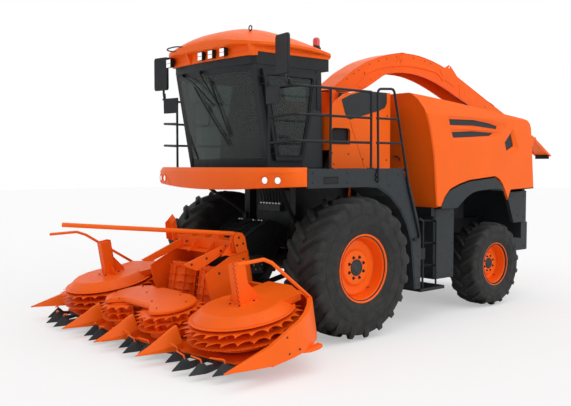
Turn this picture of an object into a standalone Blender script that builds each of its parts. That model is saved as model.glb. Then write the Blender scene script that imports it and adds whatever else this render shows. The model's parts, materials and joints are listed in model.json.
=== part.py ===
# Self-propelled forage harvester with a four-rotor row-independent header.
# Metres, +Z up. The machine faces -Y and its left side is +X. Before the last shift its origin
# lies on the ground below the middle of the front axle, so every place below is measured from there.
import math

import bmesh
import bpy
from mathutils import Matrix, Vector

# Overall places
machine_shift = -2.073
joint_gap = 0.0003
pin_gap = 0.0004
running_gap = 0.006

# Front wheels
front_tyre_radius = 0.925
front_tyre_width = 0.62
front_lugs = 20
front_wheel_x = 1.35
front_rim_radius = 0.406
front_axle_z = front_tyre_radius
front_disc_offset = 0.139

# Rear wheels
wheelbase = 3.37
rear_tyre_radius = 0.67
rear_tyre_width = 0.50
rear_lugs = 18
rear_wheel_x = 1.13
rear_rim_radius = 0.308
rear_axle_z = rear_tyre_radius
rear_disc_offset = 0.086
kingpin_x = 0.86
kingpin_radius = 0.032

# Tyres and rims
lug_height = 0.042
lug_sweep = 0.31
rim_flange = 0.038
rim_sheet = 0.012
bead_inset = 0.045
stub_radius = 0.085
round_sides = 16

# Chassis
rail_x = 0.41
rail_width = 0.10
rail_bottom = 1.10
rail_height = 0.24
rail_front = -0.24
rail_rear = 4.26

# Platform round the cab
deck_z = 2.20
deck_thickness = 0.04
platform_half = 1.52
platform_front = -0.8797
valance_height = 0.235
valance_sheet = 0.03
fender_radius = 1.115
fender_sheet = 0.025

# Cab
cab_half = 0.88
cab_sheet = 0.07
cab_floor_top = 2.27
cab_top = 3.50
glass_sheet = 0.010
door_sheet = 0.04
door_gap = 0.006
door_lap = 0.025
windscreen_bulge = 0.09
door_hinge_x = cab_half + door_gap + door_sheet + 0.014
door_hinge_shares = (0.12, 0.88)
door_pin_radius = 0.007

# Bodywork behind the cab
housing_half = 0.98
fender_inner_x = housing_half + 0.02
housing_sheet = 0.03
housing_front = 0.03
housing_rear = 1.23
housing_top = 3.28
well_deck_z = 2.94
hood_half = 1.40
hood_sheet = 0.04
hood_chamfer = 0.16

# Spout
turret_y = 1.05
turret_radius = 0.28
turret_bore = 0.24
turret_top = 3.333
spout_hinge_y = 0.80
spout_hinge_z = 3.375
spout_half = 0.19
spout_sheet = 0.014
flap_hinge_y = 6.475
flap_hinge_z = 2.775
flap_pin_radius = 0.010

# Feeder
feeder_pivot_y = -0.36
feeder_pivot_z = 1.30
feeder_half = 0.34
feeder_pin_radius = 0.05
lift_pin_radius = 0.022
lift_eye_play = 0.0055
lift_rod_radius = 0.02
lift_cylinder_x = 0.43
barrel_pin_y = -0.20
barrel_pin_z = 0.76
rod_pin_y = -0.90
rod_pin_z = 0.62

# Header, in its own frame: nose down by header_tilt about a line below the outer rotors
header_tilt = math.radians(10.0)
header_y = -1.85
header_z = 0.226
header_half = 2.355
rotor_reach = 0.805
floor_sheet = 0.03
wall_sheet = 0.03
wall_height = 0.42
outer_rotor_x = header_half - rotor_reach
outer_rotor_radius = 0.69
inner_rotor_x = 0.45
inner_rotor_y = -0.26
inner_rotor_radius = 0.43
spindle_radius = 0.06
saw_levels = (0.252, 0.340)
knife_level = 0.175
cover_z = 0.37
cover_rise = 0.11
outer_cover_radius = 0.58
outer_cover_flat = 0.46
inner_cover_radius = 0.34
post_height = 0.50
intake_half = 0.66
intake_front = 0.60
intake_rear = 0.90
intake_height = 0.80
mouth_half = 0.30
drum_radius = 0.25
drum_height = 0.52
drum_x = 0.34
drum_y = 0.43
drum_base_z = 0.12
drum_lean = math.radians(18.0)
drum_pin_radius = 0.03
drum_sides = 12

orange = (0.830, 0.130, 0.014)
grey = (0.060, 0.072, 0.076)
dark = (0.022, 0.025, 0.027)
rubber = (0.016, 0.016, 0.017)
paints = {
    "paint_orange": (orange, 0.35, 0.0, 1.0),
    "paint_grey": (grey, 0.45, 0.0, 1.0),
    "frame_black": (dark, 0.55, 0.0, 1.0),
    "tyre_rubber": (rubber, 0.85, 0.0, 1.0),
    "cab_glass": ((0.10, 0.13, 0.12), 0.05, 0.0, 0.35),
    "cylinder_rod": ((0.60, 0.60, 0.60), 0.18, 1.0, 1.0),
    "seat_cloth": ((0.030, 0.030, 0.032), 0.95, 0.0, 1.0),
}


def clear_scene():
    for obj in list(bpy.data.objects):
        bpy.data.objects.remove(obj, do_unlink=True)


def paint(name):
    found = bpy.data.materials.get(name)
    if found:
        return found
    colour, roughness, metallic, alpha = paints[name]
    made = bpy.data.materials.new(name)
    made.use_nodes = True
    shader = made.node_tree.nodes["Principled BSDF"]
    shader.inputs["Base Color"].default_value = (*colour, 1.0)
    shader.inputs["Roughness"].default_value = roughness
    shader.inputs["Metallic"].default_value = metallic
    shader.inputs["Alpha"].default_value = alpha
    return made


def frame_empty(name, location, tilt=0.0, parent=None):
    empty = bpy.data.objects.new(name, None)
    bpy.context.scene.collection.objects.link(empty)
    empty.location = location
    empty.rotation_euler = (tilt, 0.0, 0.0)
    empty.parent = parent
    return empty


# Solids: each function returns a bmesh that holds one closed body
def closed(bm):
    bmesh.ops.remove_doubles(bm, verts=bm.verts, dist=1e-6)
    bmesh.ops.recalc_face_normals(bm, faces=bm.faces)
    return bm


def loft(sections):
    bm = bmesh.new()
    rings = [[bm.verts.new(point) for point in section] for section in sections]
    count = len(rings[0])
    for low, high in zip(rings, rings[1:]):
        for i in range(count):
            j = (i + 1) % count
            bm.faces.new((low[i], low[j], high[j], high[i]))
    bm.faces.new(list(reversed(rings[0])))
    bm.faces.new(rings[-1])
    return closed(bm)


def prism(outline, axis, low, high):
    """The outline's pairs are the other two coordinates, in x, y, z order."""
    place = {
        "x": lambda a, b, c: (c, a, b),
        "y": lambda a, b, c: (a, c, b),
        "z": lambda a, b, c: (a, b, c),
    }[axis]
    return loft([[place(a, b, c) for a, b in outline] for c in (low, high)])


def box(x_range, y_range, z_range):
    corners = [(x_range[0], y_range[0]), (x_range[1], y_range[0]), (x_range[1], y_range[1]), (x_range[0], y_range[1])]
    return prism(corners, "z", *z_range)


def lathe(profile, sides=round_sides, axis="z", centre=(0.0, 0.0, 0.0), ring=False, turn=0.0):
    """Turns (radius, height) points about the axis. A ring's profile is a closed loop off the axis.
    Any other profile ends on the axis, in flat faces."""
    bm = bmesh.new()
    place = {
        "x": lambda a, b, c: Vector((c, a, b)),
        "y": lambda a, b, c: Vector((b, c, a)),
        "z": lambda a, b, c: Vector((a, b, c)),
    }[axis]
    open_ends = [point for point in profile if point[0] > 1e-6]
    columns = []
    for radius, height in open_ends:
        angles = [2 * math.pi * i / sides + turn for i in range(sides)]
        points = [place(radius * math.cos(a), radius * math.sin(a), height) for a in angles]
        columns.append([bm.verts.new(point + Vector(centre)) for point in points])
    pairs = list(zip(columns, columns[1:]))
    if ring:
        pairs.append((columns[-1], columns[0]))
    for low, high in pairs:
        for i in range(sides):
            j = (i + 1) % sides
            bm.faces.new((low[i], low[j], high[j], high[i]))
    if not ring:
        bm.faces.new(columns[0])
        bm.faces.new(columns[-1])
    return closed(bm)


def cylinder(radius, low, high, axis="z", centre=(0.0, 0.0, 0.0), sides=round_sides):
    profile = [(0.0, low), (radius, low), (radius, high), (0.0, high)]
    return lathe(profile, sides, axis, centre)


def bore_of(radius, sides=round_sides):
    """The radius of a faceted bore in which a faceted pin of this radius turns freely."""
    return radius / math.cos(math.pi / sides) + pin_gap


def bore(radius, low, high, axis="z", centre=(0.0, 0.0, 0.0), sides=round_sides):
    """A cutter for that bore, with its flats against the pin's edges."""
    return lathe([(0.0, low), (radius, low), (radius, high), (0.0, high)], sides, axis, centre, turn=math.pi / sides)


def tube(points, radius, sides=8):
    """A bar along a polyline, mitred at each bend."""
    path = [Vector(point) for point in points]
    runs = [(b - a).normalized() for a, b in zip(path, path[1:])]
    side = runs[0].cross(Vector((0.0, 0.0, 1.0)))
    if side.length < 0.1:
        side = runs[0].cross(Vector((1.0, 0.0, 0.0)))
    side.normalize()
    other = runs[0].cross(side)
    angles = [2 * math.pi * (i + 0.5) / sides for i in range(sides)]
    ring = [path[0] + radius * (math.cos(a) * side + math.sin(a) * other) for a in angles]
    rings = [ring]
    for k in range(1, len(path)):
        run = runs[k - 1]
        normal = (run + runs[k]).normalized() if k < len(runs) else run
        ring = [p + run * ((path[k] - p).dot(normal) / run.dot(normal)) for p in ring]
        rings.append(ring)
    return loft(rings)


def rounded(points, radius, steps=3):
    """The polyline with each inner corner turned on an arc."""
    path = [Vector(point) for point in points]
    found = [path[0]]
    for before, corner, after in zip(path, path[1:], path[2:]):
        back = (before - corner).normalized()
        on = (after - corner).normalized()
        half = back.angle(on) / 2
        reach = min(radius / math.tan(half), 0.45 * (before - corner).length, 0.45 * (after - corner).length)
        start = corner + back * reach
        end = corner + on * reach
        for i in range(steps + 1):
            t = i / steps
            found.append(start * (1 - t) ** 2 + corner * 2 * t * (1 - t) + end * t ** 2)
    found.append(path[-1])
    return found


def mirrored(bm):
    copy = bm.copy()
    bmesh.ops.scale(copy, vec=(-1.0, 1.0, 1.0), verts=copy.verts)
    return closed(copy)


def moved(bm, offset=(0.0, 0.0, 0.0), turn=0.0, axis="X"):
    bmesh.ops.rotate(bm, verts=bm.verts, cent=(0.0, 0.0, 0.0), matrix=Matrix.Rotation(turn, 3, axis))
    bmesh.ops.translate(bm, verts=bm.verts, vec=offset)
    return bm


def both_sides(*solids):
    return [copy for solid in solids for copy in (solid, mirrored(solid))]


def joined(*solids):
    """Solids that don't touch one another, as one mesh."""
    whole = bmesh.new()
    for bm in solids:
        mesh = bpy.data.meshes.new("helper")
        bm.to_mesh(mesh)
        bm.free()
        whole.from_mesh(mesh)
        bpy.data.meshes.remove(mesh)
    return whole


def helper(bm):
    mesh = bpy.data.meshes.new("helper")
    bm.to_mesh(mesh)
    bm.free()
    obj = bpy.data.objects.new("helper", mesh)
    obj.hide_render = True
    obj.display_type = "WIRE"
    bpy.context.scene.collection.objects.link(obj)
    return obj


def combined(base, others, operation):
    """One body from the base and the others, by exact Booleans."""
    target = helper(base)
    tools = [helper(other) for other in others]
    for tool in tools:
        modifier = target.modifiers.new("cut", "BOOLEAN")
        modifier.solver = "EXACT"
        modifier.operation = operation
        modifier.object = tool
    bpy.context.view_layer.update()
    graph = bpy.context.evaluated_depsgraph_get()
    mesh = bpy.data.meshes.new_from_object(target.evaluated_get(graph))
    result = bmesh.new()
    result.from_mesh(mesh)
    for obj in [target, *tools]:
        used = obj.data
        bpy.data.objects.remove(obj, do_unlink=True)
        bpy.data.meshes.remove(used)
    bpy.data.meshes.remove(mesh)
    bmesh.ops.remove_doubles(result, verts=result.verts, dist=1e-6)
    return result


def fused(*solids):
    return combined(solids[0], solids[1:], "UNION")


def cut(base, *cutters):
    return combined(base, cutters, "DIFFERENCE")


def piece(name, bm, finish, parent, origin=(0.0, 0.0, 0.0), smooth=None):
    """Makes the object, with its own origin at this point of its parent's frame."""
    bmesh.ops.translate(bm, verts=bm.verts, vec=-Vector(origin))
    mesh = bpy.data.meshes.new(name)
    bm.to_mesh(mesh)
    bm.free()
    obj = bpy.data.objects.new(name, mesh)
    bpy.context.scene.collection.objects.link(obj)
    obj.data.materials.append(paint(finish))
    obj.location = origin
    obj.parent = parent
    if smooth:
        mesh.shade_smooth()
        mesh.set_sharp_from_angle(angle=math.radians(smooth))
    return obj


# Wheels
def lug_start(lugs):
    """Turns the ring so that the crown of one lug stands on the ground."""
    return -math.pi / 2 - lug_sweep - 0.10 * 2 * math.pi / lugs


def tyre_solid(radius, width, rim_radius, lugs):
    """A closed ring of rows. The rows of the tread rise and fall with the lugs of their own side,
    which stand half a pitch apart and sweep forward to the middle."""
    half = width / 2
    bead = half - bead_inset
    shoulder = half - 0.015
    crown = radius - lug_height
    belly = rim_radius + 0.52 * (radius - rim_radius)
    flange = rim_radius + rim_flange
    pitch = 2 * math.pi / lugs
    start = lug_start(lugs)
    shares = (0.0, 0.1, 0.4, 0.5, 0.6, 0.9)
    left = (False, True, True, False, False, False)
    right = (False, False, False, False, True, True)
    both = (False, True, True, False, True, True)
    bm = bmesh.new()

    def row(x, sweep, low, high, raised):
        found = []
        for k in range(lugs):
            for share, up in zip(shares, raised):
                a = start + (k + share) * pitch + sweep
                r = high if up else low
                found.append(bm.verts.new((x, r * math.cos(a), r * math.sin(a))))
        return found

    def plain(x, r):
        return [bm.verts.new((x, r * math.cos(start + k * pitch), r * math.sin(start + k * pitch))) for k in range(lugs)]

    tread = [row(shoulder, 0.0, crown - 0.05, radius - 0.035, left),
             row(0.55 * half, 0.45 * lug_sweep, crown - 0.008, radius - 0.010, left),
             row(0.0, lug_sweep, crown, radius, both),
             row(-0.55 * half, 0.45 * lug_sweep, crown - 0.008, radius - 0.010, right),
             row(-shoulder, 0.0, crown - 0.05, radius - 0.035, right)]
    for one, two in zip(tread, tread[1:]):
        for i in range(len(one)):
            j = (i + 1) % len(one)
            bm.faces.new((one[i], one[j], two[j], two[i]))
    walls = []
    bore = rim_radius + joint_gap
    for side, edge in ((1, tread[0]), (-1, tread[-1])):
        outer, middle, inner = plain(side * half, belly), plain(side * bead, flange), plain(side * bead, bore)
        for k in range(lugs):
            n = (k + 1) % lugs
            for i in range(6):
                bm.faces.new((edge[6 * k + i], edge[(6 * k + i + 1) % len(edge)], outer[k if i < 3 else n]))
            bm.faces.new((edge[6 * k + 3], outer[k], outer[n]))
            bm.faces.new((outer[k], outer[n], middle[n], middle[k]))
            bm.faces.new((middle[k], middle[n], inner[n], inner[k]))
        walls.append(inner)
    for k in range(lugs):
        n = (k + 1) % lugs
        bm.faces.new((walls[0][k], walls[0][n], walls[1][n], walls[1][k]))
    return closed(bm)


def rim_solid(width, rim_radius, disc_offset, stub_end, sides):
    """The barrel with its two flanges, the dished disc and the stub that runs in the hub."""
    bead = width / 2 - bead_inset + joint_gap
    flange = rim_radius + rim_flange
    inner = rim_radius - rim_sheet
    dish = disc_offset + 0.05
    hub_radius = 0.46 * rim_radius
    profile = [
        (0.0, disc_offset), (hub_radius, disc_offset), (hub_radius + 0.02, disc_offset - 0.03),
        (0.80 * inner, dish - 0.02), (inner, dish), (inner, bead + 0.014), (flange, bead + 0.014),
        (flange, bead + 0.002), (rim_radius, bead), (rim_radius, -bead), (flange, -bead - 0.002),
        (flange, -bead - 0.014), (inner, -bead - 0.014), (inner, dish - 0.02),
        (0.80 * inner, dish - 0.04), (hub_radius, disc_offset - 0.05), (stub_radius, disc_offset - 0.05),
        (stub_radius, stub_end), (0.0, stub_end),
    ]
    return lathe(profile, sides, "x", turn=lug_start(sides))


def wheel(tag, side, place, radius, width, lugs, rim_radius, disc_offset, stub_end, parent):
    tyre = tyre_solid(radius, width, rim_radius, lugs)
    rim = rim_solid(width, rim_radius, disc_offset, stub_end, lugs)
    if side < 0:
        tyre, rim = mirrored(tyre), mirrored(rim)
    for name, solid, finish in (("tyre_", tyre, "tyre_rubber"), ("rim_", rim, "paint_orange")):
        obj = piece(name + tag, solid, finish, parent, smooth=35)
        obj.location = place


def build_wheels(machine):
    for side, hand in ((1, "l"), (-1, "r")):
        wheel("front_" + hand, side, (side * front_wheel_x, 0.0, front_axle_z), front_tyre_radius,
              front_tyre_width, front_lugs, front_rim_radius, front_disc_offset, 0.80 - front_wheel_x, machine)
        wheel("rear_" + hand, side, (side * rear_wheel_x, wheelbase, rear_axle_z), rear_tyre_radius,
              rear_tyre_width, rear_lugs, rear_rim_radius, rear_disc_offset, 0.945 - rear_wheel_x, machine)


# Running gear
def build_axles(machine):
    drive = cylinder(0.22, 0.66, 1.36, "x", (0.0, 0.0, front_axle_z))
    hub_bore = bore(bore_of(stub_radius), 0.78, 1.40, "x", (0.0, 0.0, front_axle_z))
    tube_x = cylinder(0.13, -0.68, 0.68, "x", (0.0, 0.0, front_axle_z))
    pad = box((rail_x - 0.06, rail_x + 0.06), (-0.11, 0.11), (front_axle_z + 0.03, rail_bottom - joint_gap))
    lug = box((lift_cylinder_x - 0.075, lift_cylinder_x - 0.041), (barrel_pin_y - 0.05, -0.03),
              (barrel_pin_z - 0.05, front_axle_z - 0.02))
    pin = cylinder(lift_pin_radius, lift_cylinder_x - 0.06, lift_cylinder_x + 0.025, "x",
                   (0.0, barrel_pin_y, barrel_pin_z), 16)
    axle = fused(tube_x, *both_sides(drive, pad, lug, pin))
    axle = cut(axle, *both_sides(hub_bore))
    piece("front_axle", axle, "frame_black", machine, smooth=35)

    z = rear_axle_z
    beam = box((-kingpin_x + 0.055, kingpin_x - 0.055), (wheelbase - 0.07, wheelbase + 0.07), (z - 0.08, z + 0.08))
    eye = cylinder(0.075, z - 0.09, z + 0.09, "z", (kingpin_x, wheelbase, 0.0))
    cradle = box((-0.16, 0.16), (wheelbase - 0.10, wheelbase + 0.10), (z, z + 0.17))
    axle = fused(beam, cradle, *both_sides(eye))
    axle = cut(axle, *both_sides(bore(bore_of(kingpin_radius), z - 0.2, z + 0.2, "z", (kingpin_x, wheelbase, 0.0))))
    piece("rear_axle", axle, "frame_black", machine, smooth=35)

    for side, hand in ((1, "l"), (-1, "r")):
        pin = cylinder(kingpin_radius, z - 0.11, z + 0.11, "z", (kingpin_x, wheelbase, 0.0))
        upper = box((kingpin_x - 0.05, 1.02), (wheelbase - 0.05, wheelbase + 0.05), (z + 0.0965, z + 0.13))
        lower = box((kingpin_x - 0.05, 1.02), (wheelbase - 0.05, wheelbase + 0.05), (z - 0.13, z - 0.0965))
        block = box((kingpin_x + 0.085, 1.05), (wheelbase - 0.11, wheelbase + 0.11), (z - 0.13, z + 0.13))
        knuckle = fused(block, upper, lower, pin)
        knuckle = cut(knuckle, bore(bore_of(stub_radius), kingpin_x + 0.05, 1.2, "x", (0.0, wheelbase, z)))
        if side < 0:
            knuckle = mirrored(knuckle)
        piece("knuckle_" + hand, knuckle, "frame_black", machine, (side * kingpin_x, wheelbase, z), smooth=35)


def build_chassis(machine):
    top = rail_bottom + rail_height
    inner, outer = rail_x - rail_width / 2, rail_x + rail_width / 2
    rail = box((inner, outer), (rail_front, rail_rear), (rail_bottom, top))
    crosses = [box((-rail_x, rail_x), (y, y + 0.14), (rail_bottom + 0.03, top - 0.03))
               for y in (0.95, 2.15, wheelbase - 0.12, rail_rear - 0.15)]
    lug = prism([(rail_front + 0.02, rail_bottom + 0.02), (rail_front + 0.02, top), (feeder_pivot_y, top + 0.07),
                 (feeder_pivot_y - 0.10, feeder_pivot_z), (feeder_pivot_y, rail_bottom + 0.08)],
                "x", feeder_half + running_gap, feeder_half + 0.06)
    pin_bore = bore(bore_of(feeder_pin_radius), 0.3, 0.6, "x", (0.0, feeder_pivot_y, feeder_pivot_z))
    column = box((outer - 0.02, outer + 0.10), (rail_front + 0.02, rail_front + 0.16),
                 (rail_bottom + 0.02, deck_z - deck_thickness - joint_gap))
    rear_column = box((outer - 0.02, outer + 0.10), (0.98, 1.09), (rail_bottom + 0.02, deck_z - joint_gap - 0.20))
    hanger = box((-0.14, 0.14), (wheelbase - 0.09, wheelbase + 0.09), (rear_axle_z + 0.17 + joint_gap, rail_bottom + 0.06))
    arm = box((outer - 0.03, 1.30), (1.78, 1.85), (1.50, 1.63 - joint_gap))
    arm_post = box((outer - 0.03, outer + 0.05), (1.77, 1.86), (rail_bottom + 0.02, 1.61))
    frame = fused(rail, mirrored(rail), *crosses, hanger, *both_sides(lug, column, rear_column, arm_post, arm))
    frame = cut(frame, *both_sides(pin_bore))
    piece("main_frame", frame, "frame_black", machine, smooth=35)

    engine = box((-0.45, 0.45), (2.45, 3.75), (top + joint_gap, top + 0.85))
    piece("engine_block", engine, "frame_black", machine)

    chute = prism([(-0.16, 1.10), (-0.16, 1.90), (0.42, 2.00), (0.80, well_deck_z - 0.04), (1.30, well_deck_z - 0.04),
                   (1.02, 1.90), (0.92, 1.40), (0.92, 1.10)],
                  "x", -(rail_x - rail_width / 2) + joint_gap, rail_x - rail_width / 2 - joint_gap)
    piece("chopper_housing", chute, "frame_black", machine)


# Platform, front beam and boarding steps
def build_platform(machine):
    deck_low = deck_z - deck_thickness
    low = deck_z - valance_height
    outer, inner = platform_half, platform_half - valance_sheet
    # x, y of the front face, z of the lower edge
    side_x = platform_half
    stations = ((side_x, -0.93, 1.985), (side_x - 0.09, -1.12, 1.98), (side_x - 0.42, -1.24, 1.965),
                (side_x - 0.92, -1.32, 1.94), (0.0, -1.36, 1.93))
    rows = list(stations) + [(-x, y, z) for x, y, z in reversed(stations[:-1])]
    thick = 0.05
    fascia = loft([[(x * 0.995, y + 0.015, 2.22), (x, y, 2.19), (x, y, z + 0.02), (x * 0.99, y + 0.02, z),
                    (x * 0.99, y + thick, z), (x * 0.99, y + thick, 2.22)] for x, y, z in rows])
    lamps = [cylinder(0.052, y, y + 0.06, "y", (x, 0.0, 2.06), 12) for x, y in ((1.17, -1.232), (1.32, -1.178))]
    piece("front_beam", fused(fascia, *both_sides(*lamps)), "paint_orange", machine)
    front = [(x * 0.99, y + thick + joint_gap) for x, y, z in rows]
    deck = prism([(outer - 0.01, 0.14), *front, (-outer + 0.01, 0.14)], "z", deck_low, deck_z)
    walk = box((housing_half + joint_gap, outer), (0.0, 0.98), (deck_low, deck_z))
    arc = [(fender_radius * math.cos(a), front_axle_z + fender_radius * math.sin(a))
           for a in [math.radians(v) for v in (70, 56, 42, 28, 14, 0)]]
    # Side outline: along the deck, down the rear edge and back up the arch
    outline = [(platform_front, deck_z), (0.86, deck_z), (1.04, 1.95), (1.20, 1.53), (1.27, 1.20), (1.27, 0.52),
               (1.17, 0.52)] + [(max(y, 0.0), z) for y, z in reversed(arc)] + [(0.20, low), (platform_front, low)]
    side = prism(outline, "x", inner, outer)
    inside = [(y - fender_sheet * math.cos(a), z - fender_sheet * math.sin(a))
              for (y, z), a in zip(arc, [math.radians(v) for v in (70, 56, 42, 28, 14, 0)])]
    start = [(0.20, low + 0.02), (0.20, low + 0.02 - fender_sheet)]
    band = [start[0], *arc, (1.17, 0.52), (1.17 - fender_sheet, 0.52), *reversed(inside), start[1]]
    fender = prism(band, "x", fender_inner_x, outer - 0.005)
    brace = box((fender_inner_x, fender_inner_x + 0.03), (0.20, 0.30), (low - 0.02, deck_low + 0.01))
    platform = fused(deck, *both_sides(walk, side, fender, brace))
    platform = cut(platform, *both_sides(box((outer - 0.012, outer + 0.1), (-0.61, -0.37), (2.02, 2.10))))
    piece("platform", platform, "paint_grey", machine)

    rung = [box((1.14, 1.46), (1.40, 1.68), (z, z + 0.03)) for z in (0.46, 0.78, 1.10, 1.42)]
    string = [box((x, x + 0.03), (1.38, 1.70), (0.44, 1.48)) for x in (1.13, 1.45)]
    hanger = box((1.46, platform_half - valance_sheet - joint_gap), (1.20, 1.40), (0.90, 1.10))
    piece("boarding_ladder", fused(string[0], string[1], *rung, hanger), "frame_black", machine)


def build_rails(machine):
    radius = 0.017
    x = platform_half - 0.03
    front_x, front_y = platform_half - 0.49, -1.08
    mirror_x = platform_half - 0.17
    rear_y = 0.27
    base = deck_z + joint_gap
    for side, hand in ((1, "l"), (-1, "r")):
        bars = []
        for z in (3.20, 2.86, 2.54):
            bars.append(tube(rounded([(front_x, front_y, z - 0.02), (x, front_y + 0.04, z), (x, rear_y, z)], 0.10, 2), radius, 6))
        for px, py in ((front_x, front_y), (x, -0.47), (x, rear_y)):
            bars.append(tube([(px, py, base), (px, py, 3.20)], radius, 6))
        # Mirror on its stalk
        bars.append(tube([(mirror_x, front_y + 0.03, 3.17), (mirror_x, front_y - 0.02, 3.42)], 0.02, 6))
        bars.append(box((mirror_x - 0.08, mirror_x + 0.08), (front_y - 0.06, front_y), (3.36, 3.80)))
        piece("handrail_" + hand, fused(*(bars if side > 0 else [mirrored(bar) for bar in bars])), "frame_black", machine)
    x = platform_half + joint_gap + radius
    gate = tube(rounded([(x, 0.36, 2.02), (x, 0.34, 3.24), (x, 0.66, 3.26), (x, 0.98, 1.95), (x, 1.24, 1.22), (x, 1.10, 1.22)],
                        0.06, 2), radius, 6)
    cross = [tube([(x, 0.35, z), (x, y, z)], radius, 6) for z, y in ((2.86, 0.77), (2.54, 0.85))]
    piece("ladder_rail", fused(gate, *cross), "frame_black", machine)


# Cab
def side_outline(inset):
    """Cab side, in y and z, from the lower front corner clockwise."""
    return [(-0.95 + inset, 2.2 + joint_gap + inset), (-1.19 + inset, cab_top - inset), (-0.05 - inset, cab_top - inset),
            (-0.02 - inset, 2.2 + joint_gap + inset)]


opening_outline = [(-0.855, 2.33), (-1.065, 3.42), (-0.20, 3.42), (-0.29, 2.87), (-0.42, 2.33)]


def grown(outline, amount):
    """The outline moved outward by this amount along each corner's bisector."""
    points = [Vector(point) for point in outline]
    area = sum(a.x * b.y - b.x * a.y for a, b in zip(points, points[1:] + points[:1]))
    sign = 1.0 if area > 0 else -1.0
    found = []
    for i, point in enumerate(points):
        into = (point - points[i - 1]).normalized()
        out = (points[(i + 1) % len(points)] - point).normalized()
        first = sign * Vector((into.y, -into.x))
        second = sign * Vector((out.y, -out.x))
        middle = (first + second).normalized()
        found.append(tuple(point + middle * (amount / middle.dot(first))))
    return found


def bowed(x, y, half):
    return y - windscreen_bulge * (1 - (x / half) ** 2)


def bowed_bar(half, y_low, y_high, z_low, z_high, depth, steps=8):
    rows = []
    for i in range(steps + 1):
        x = -half + 2 * half * i / steps
        rows.append([(x, bowed(x, y_low, half), z_low), (x, bowed(x, y_low, half) + depth, z_low),
                     (x, bowed(x, y_high, half) + depth, z_high), (x, bowed(x, y_high, half), z_high)])
    return loft(rows)


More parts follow.
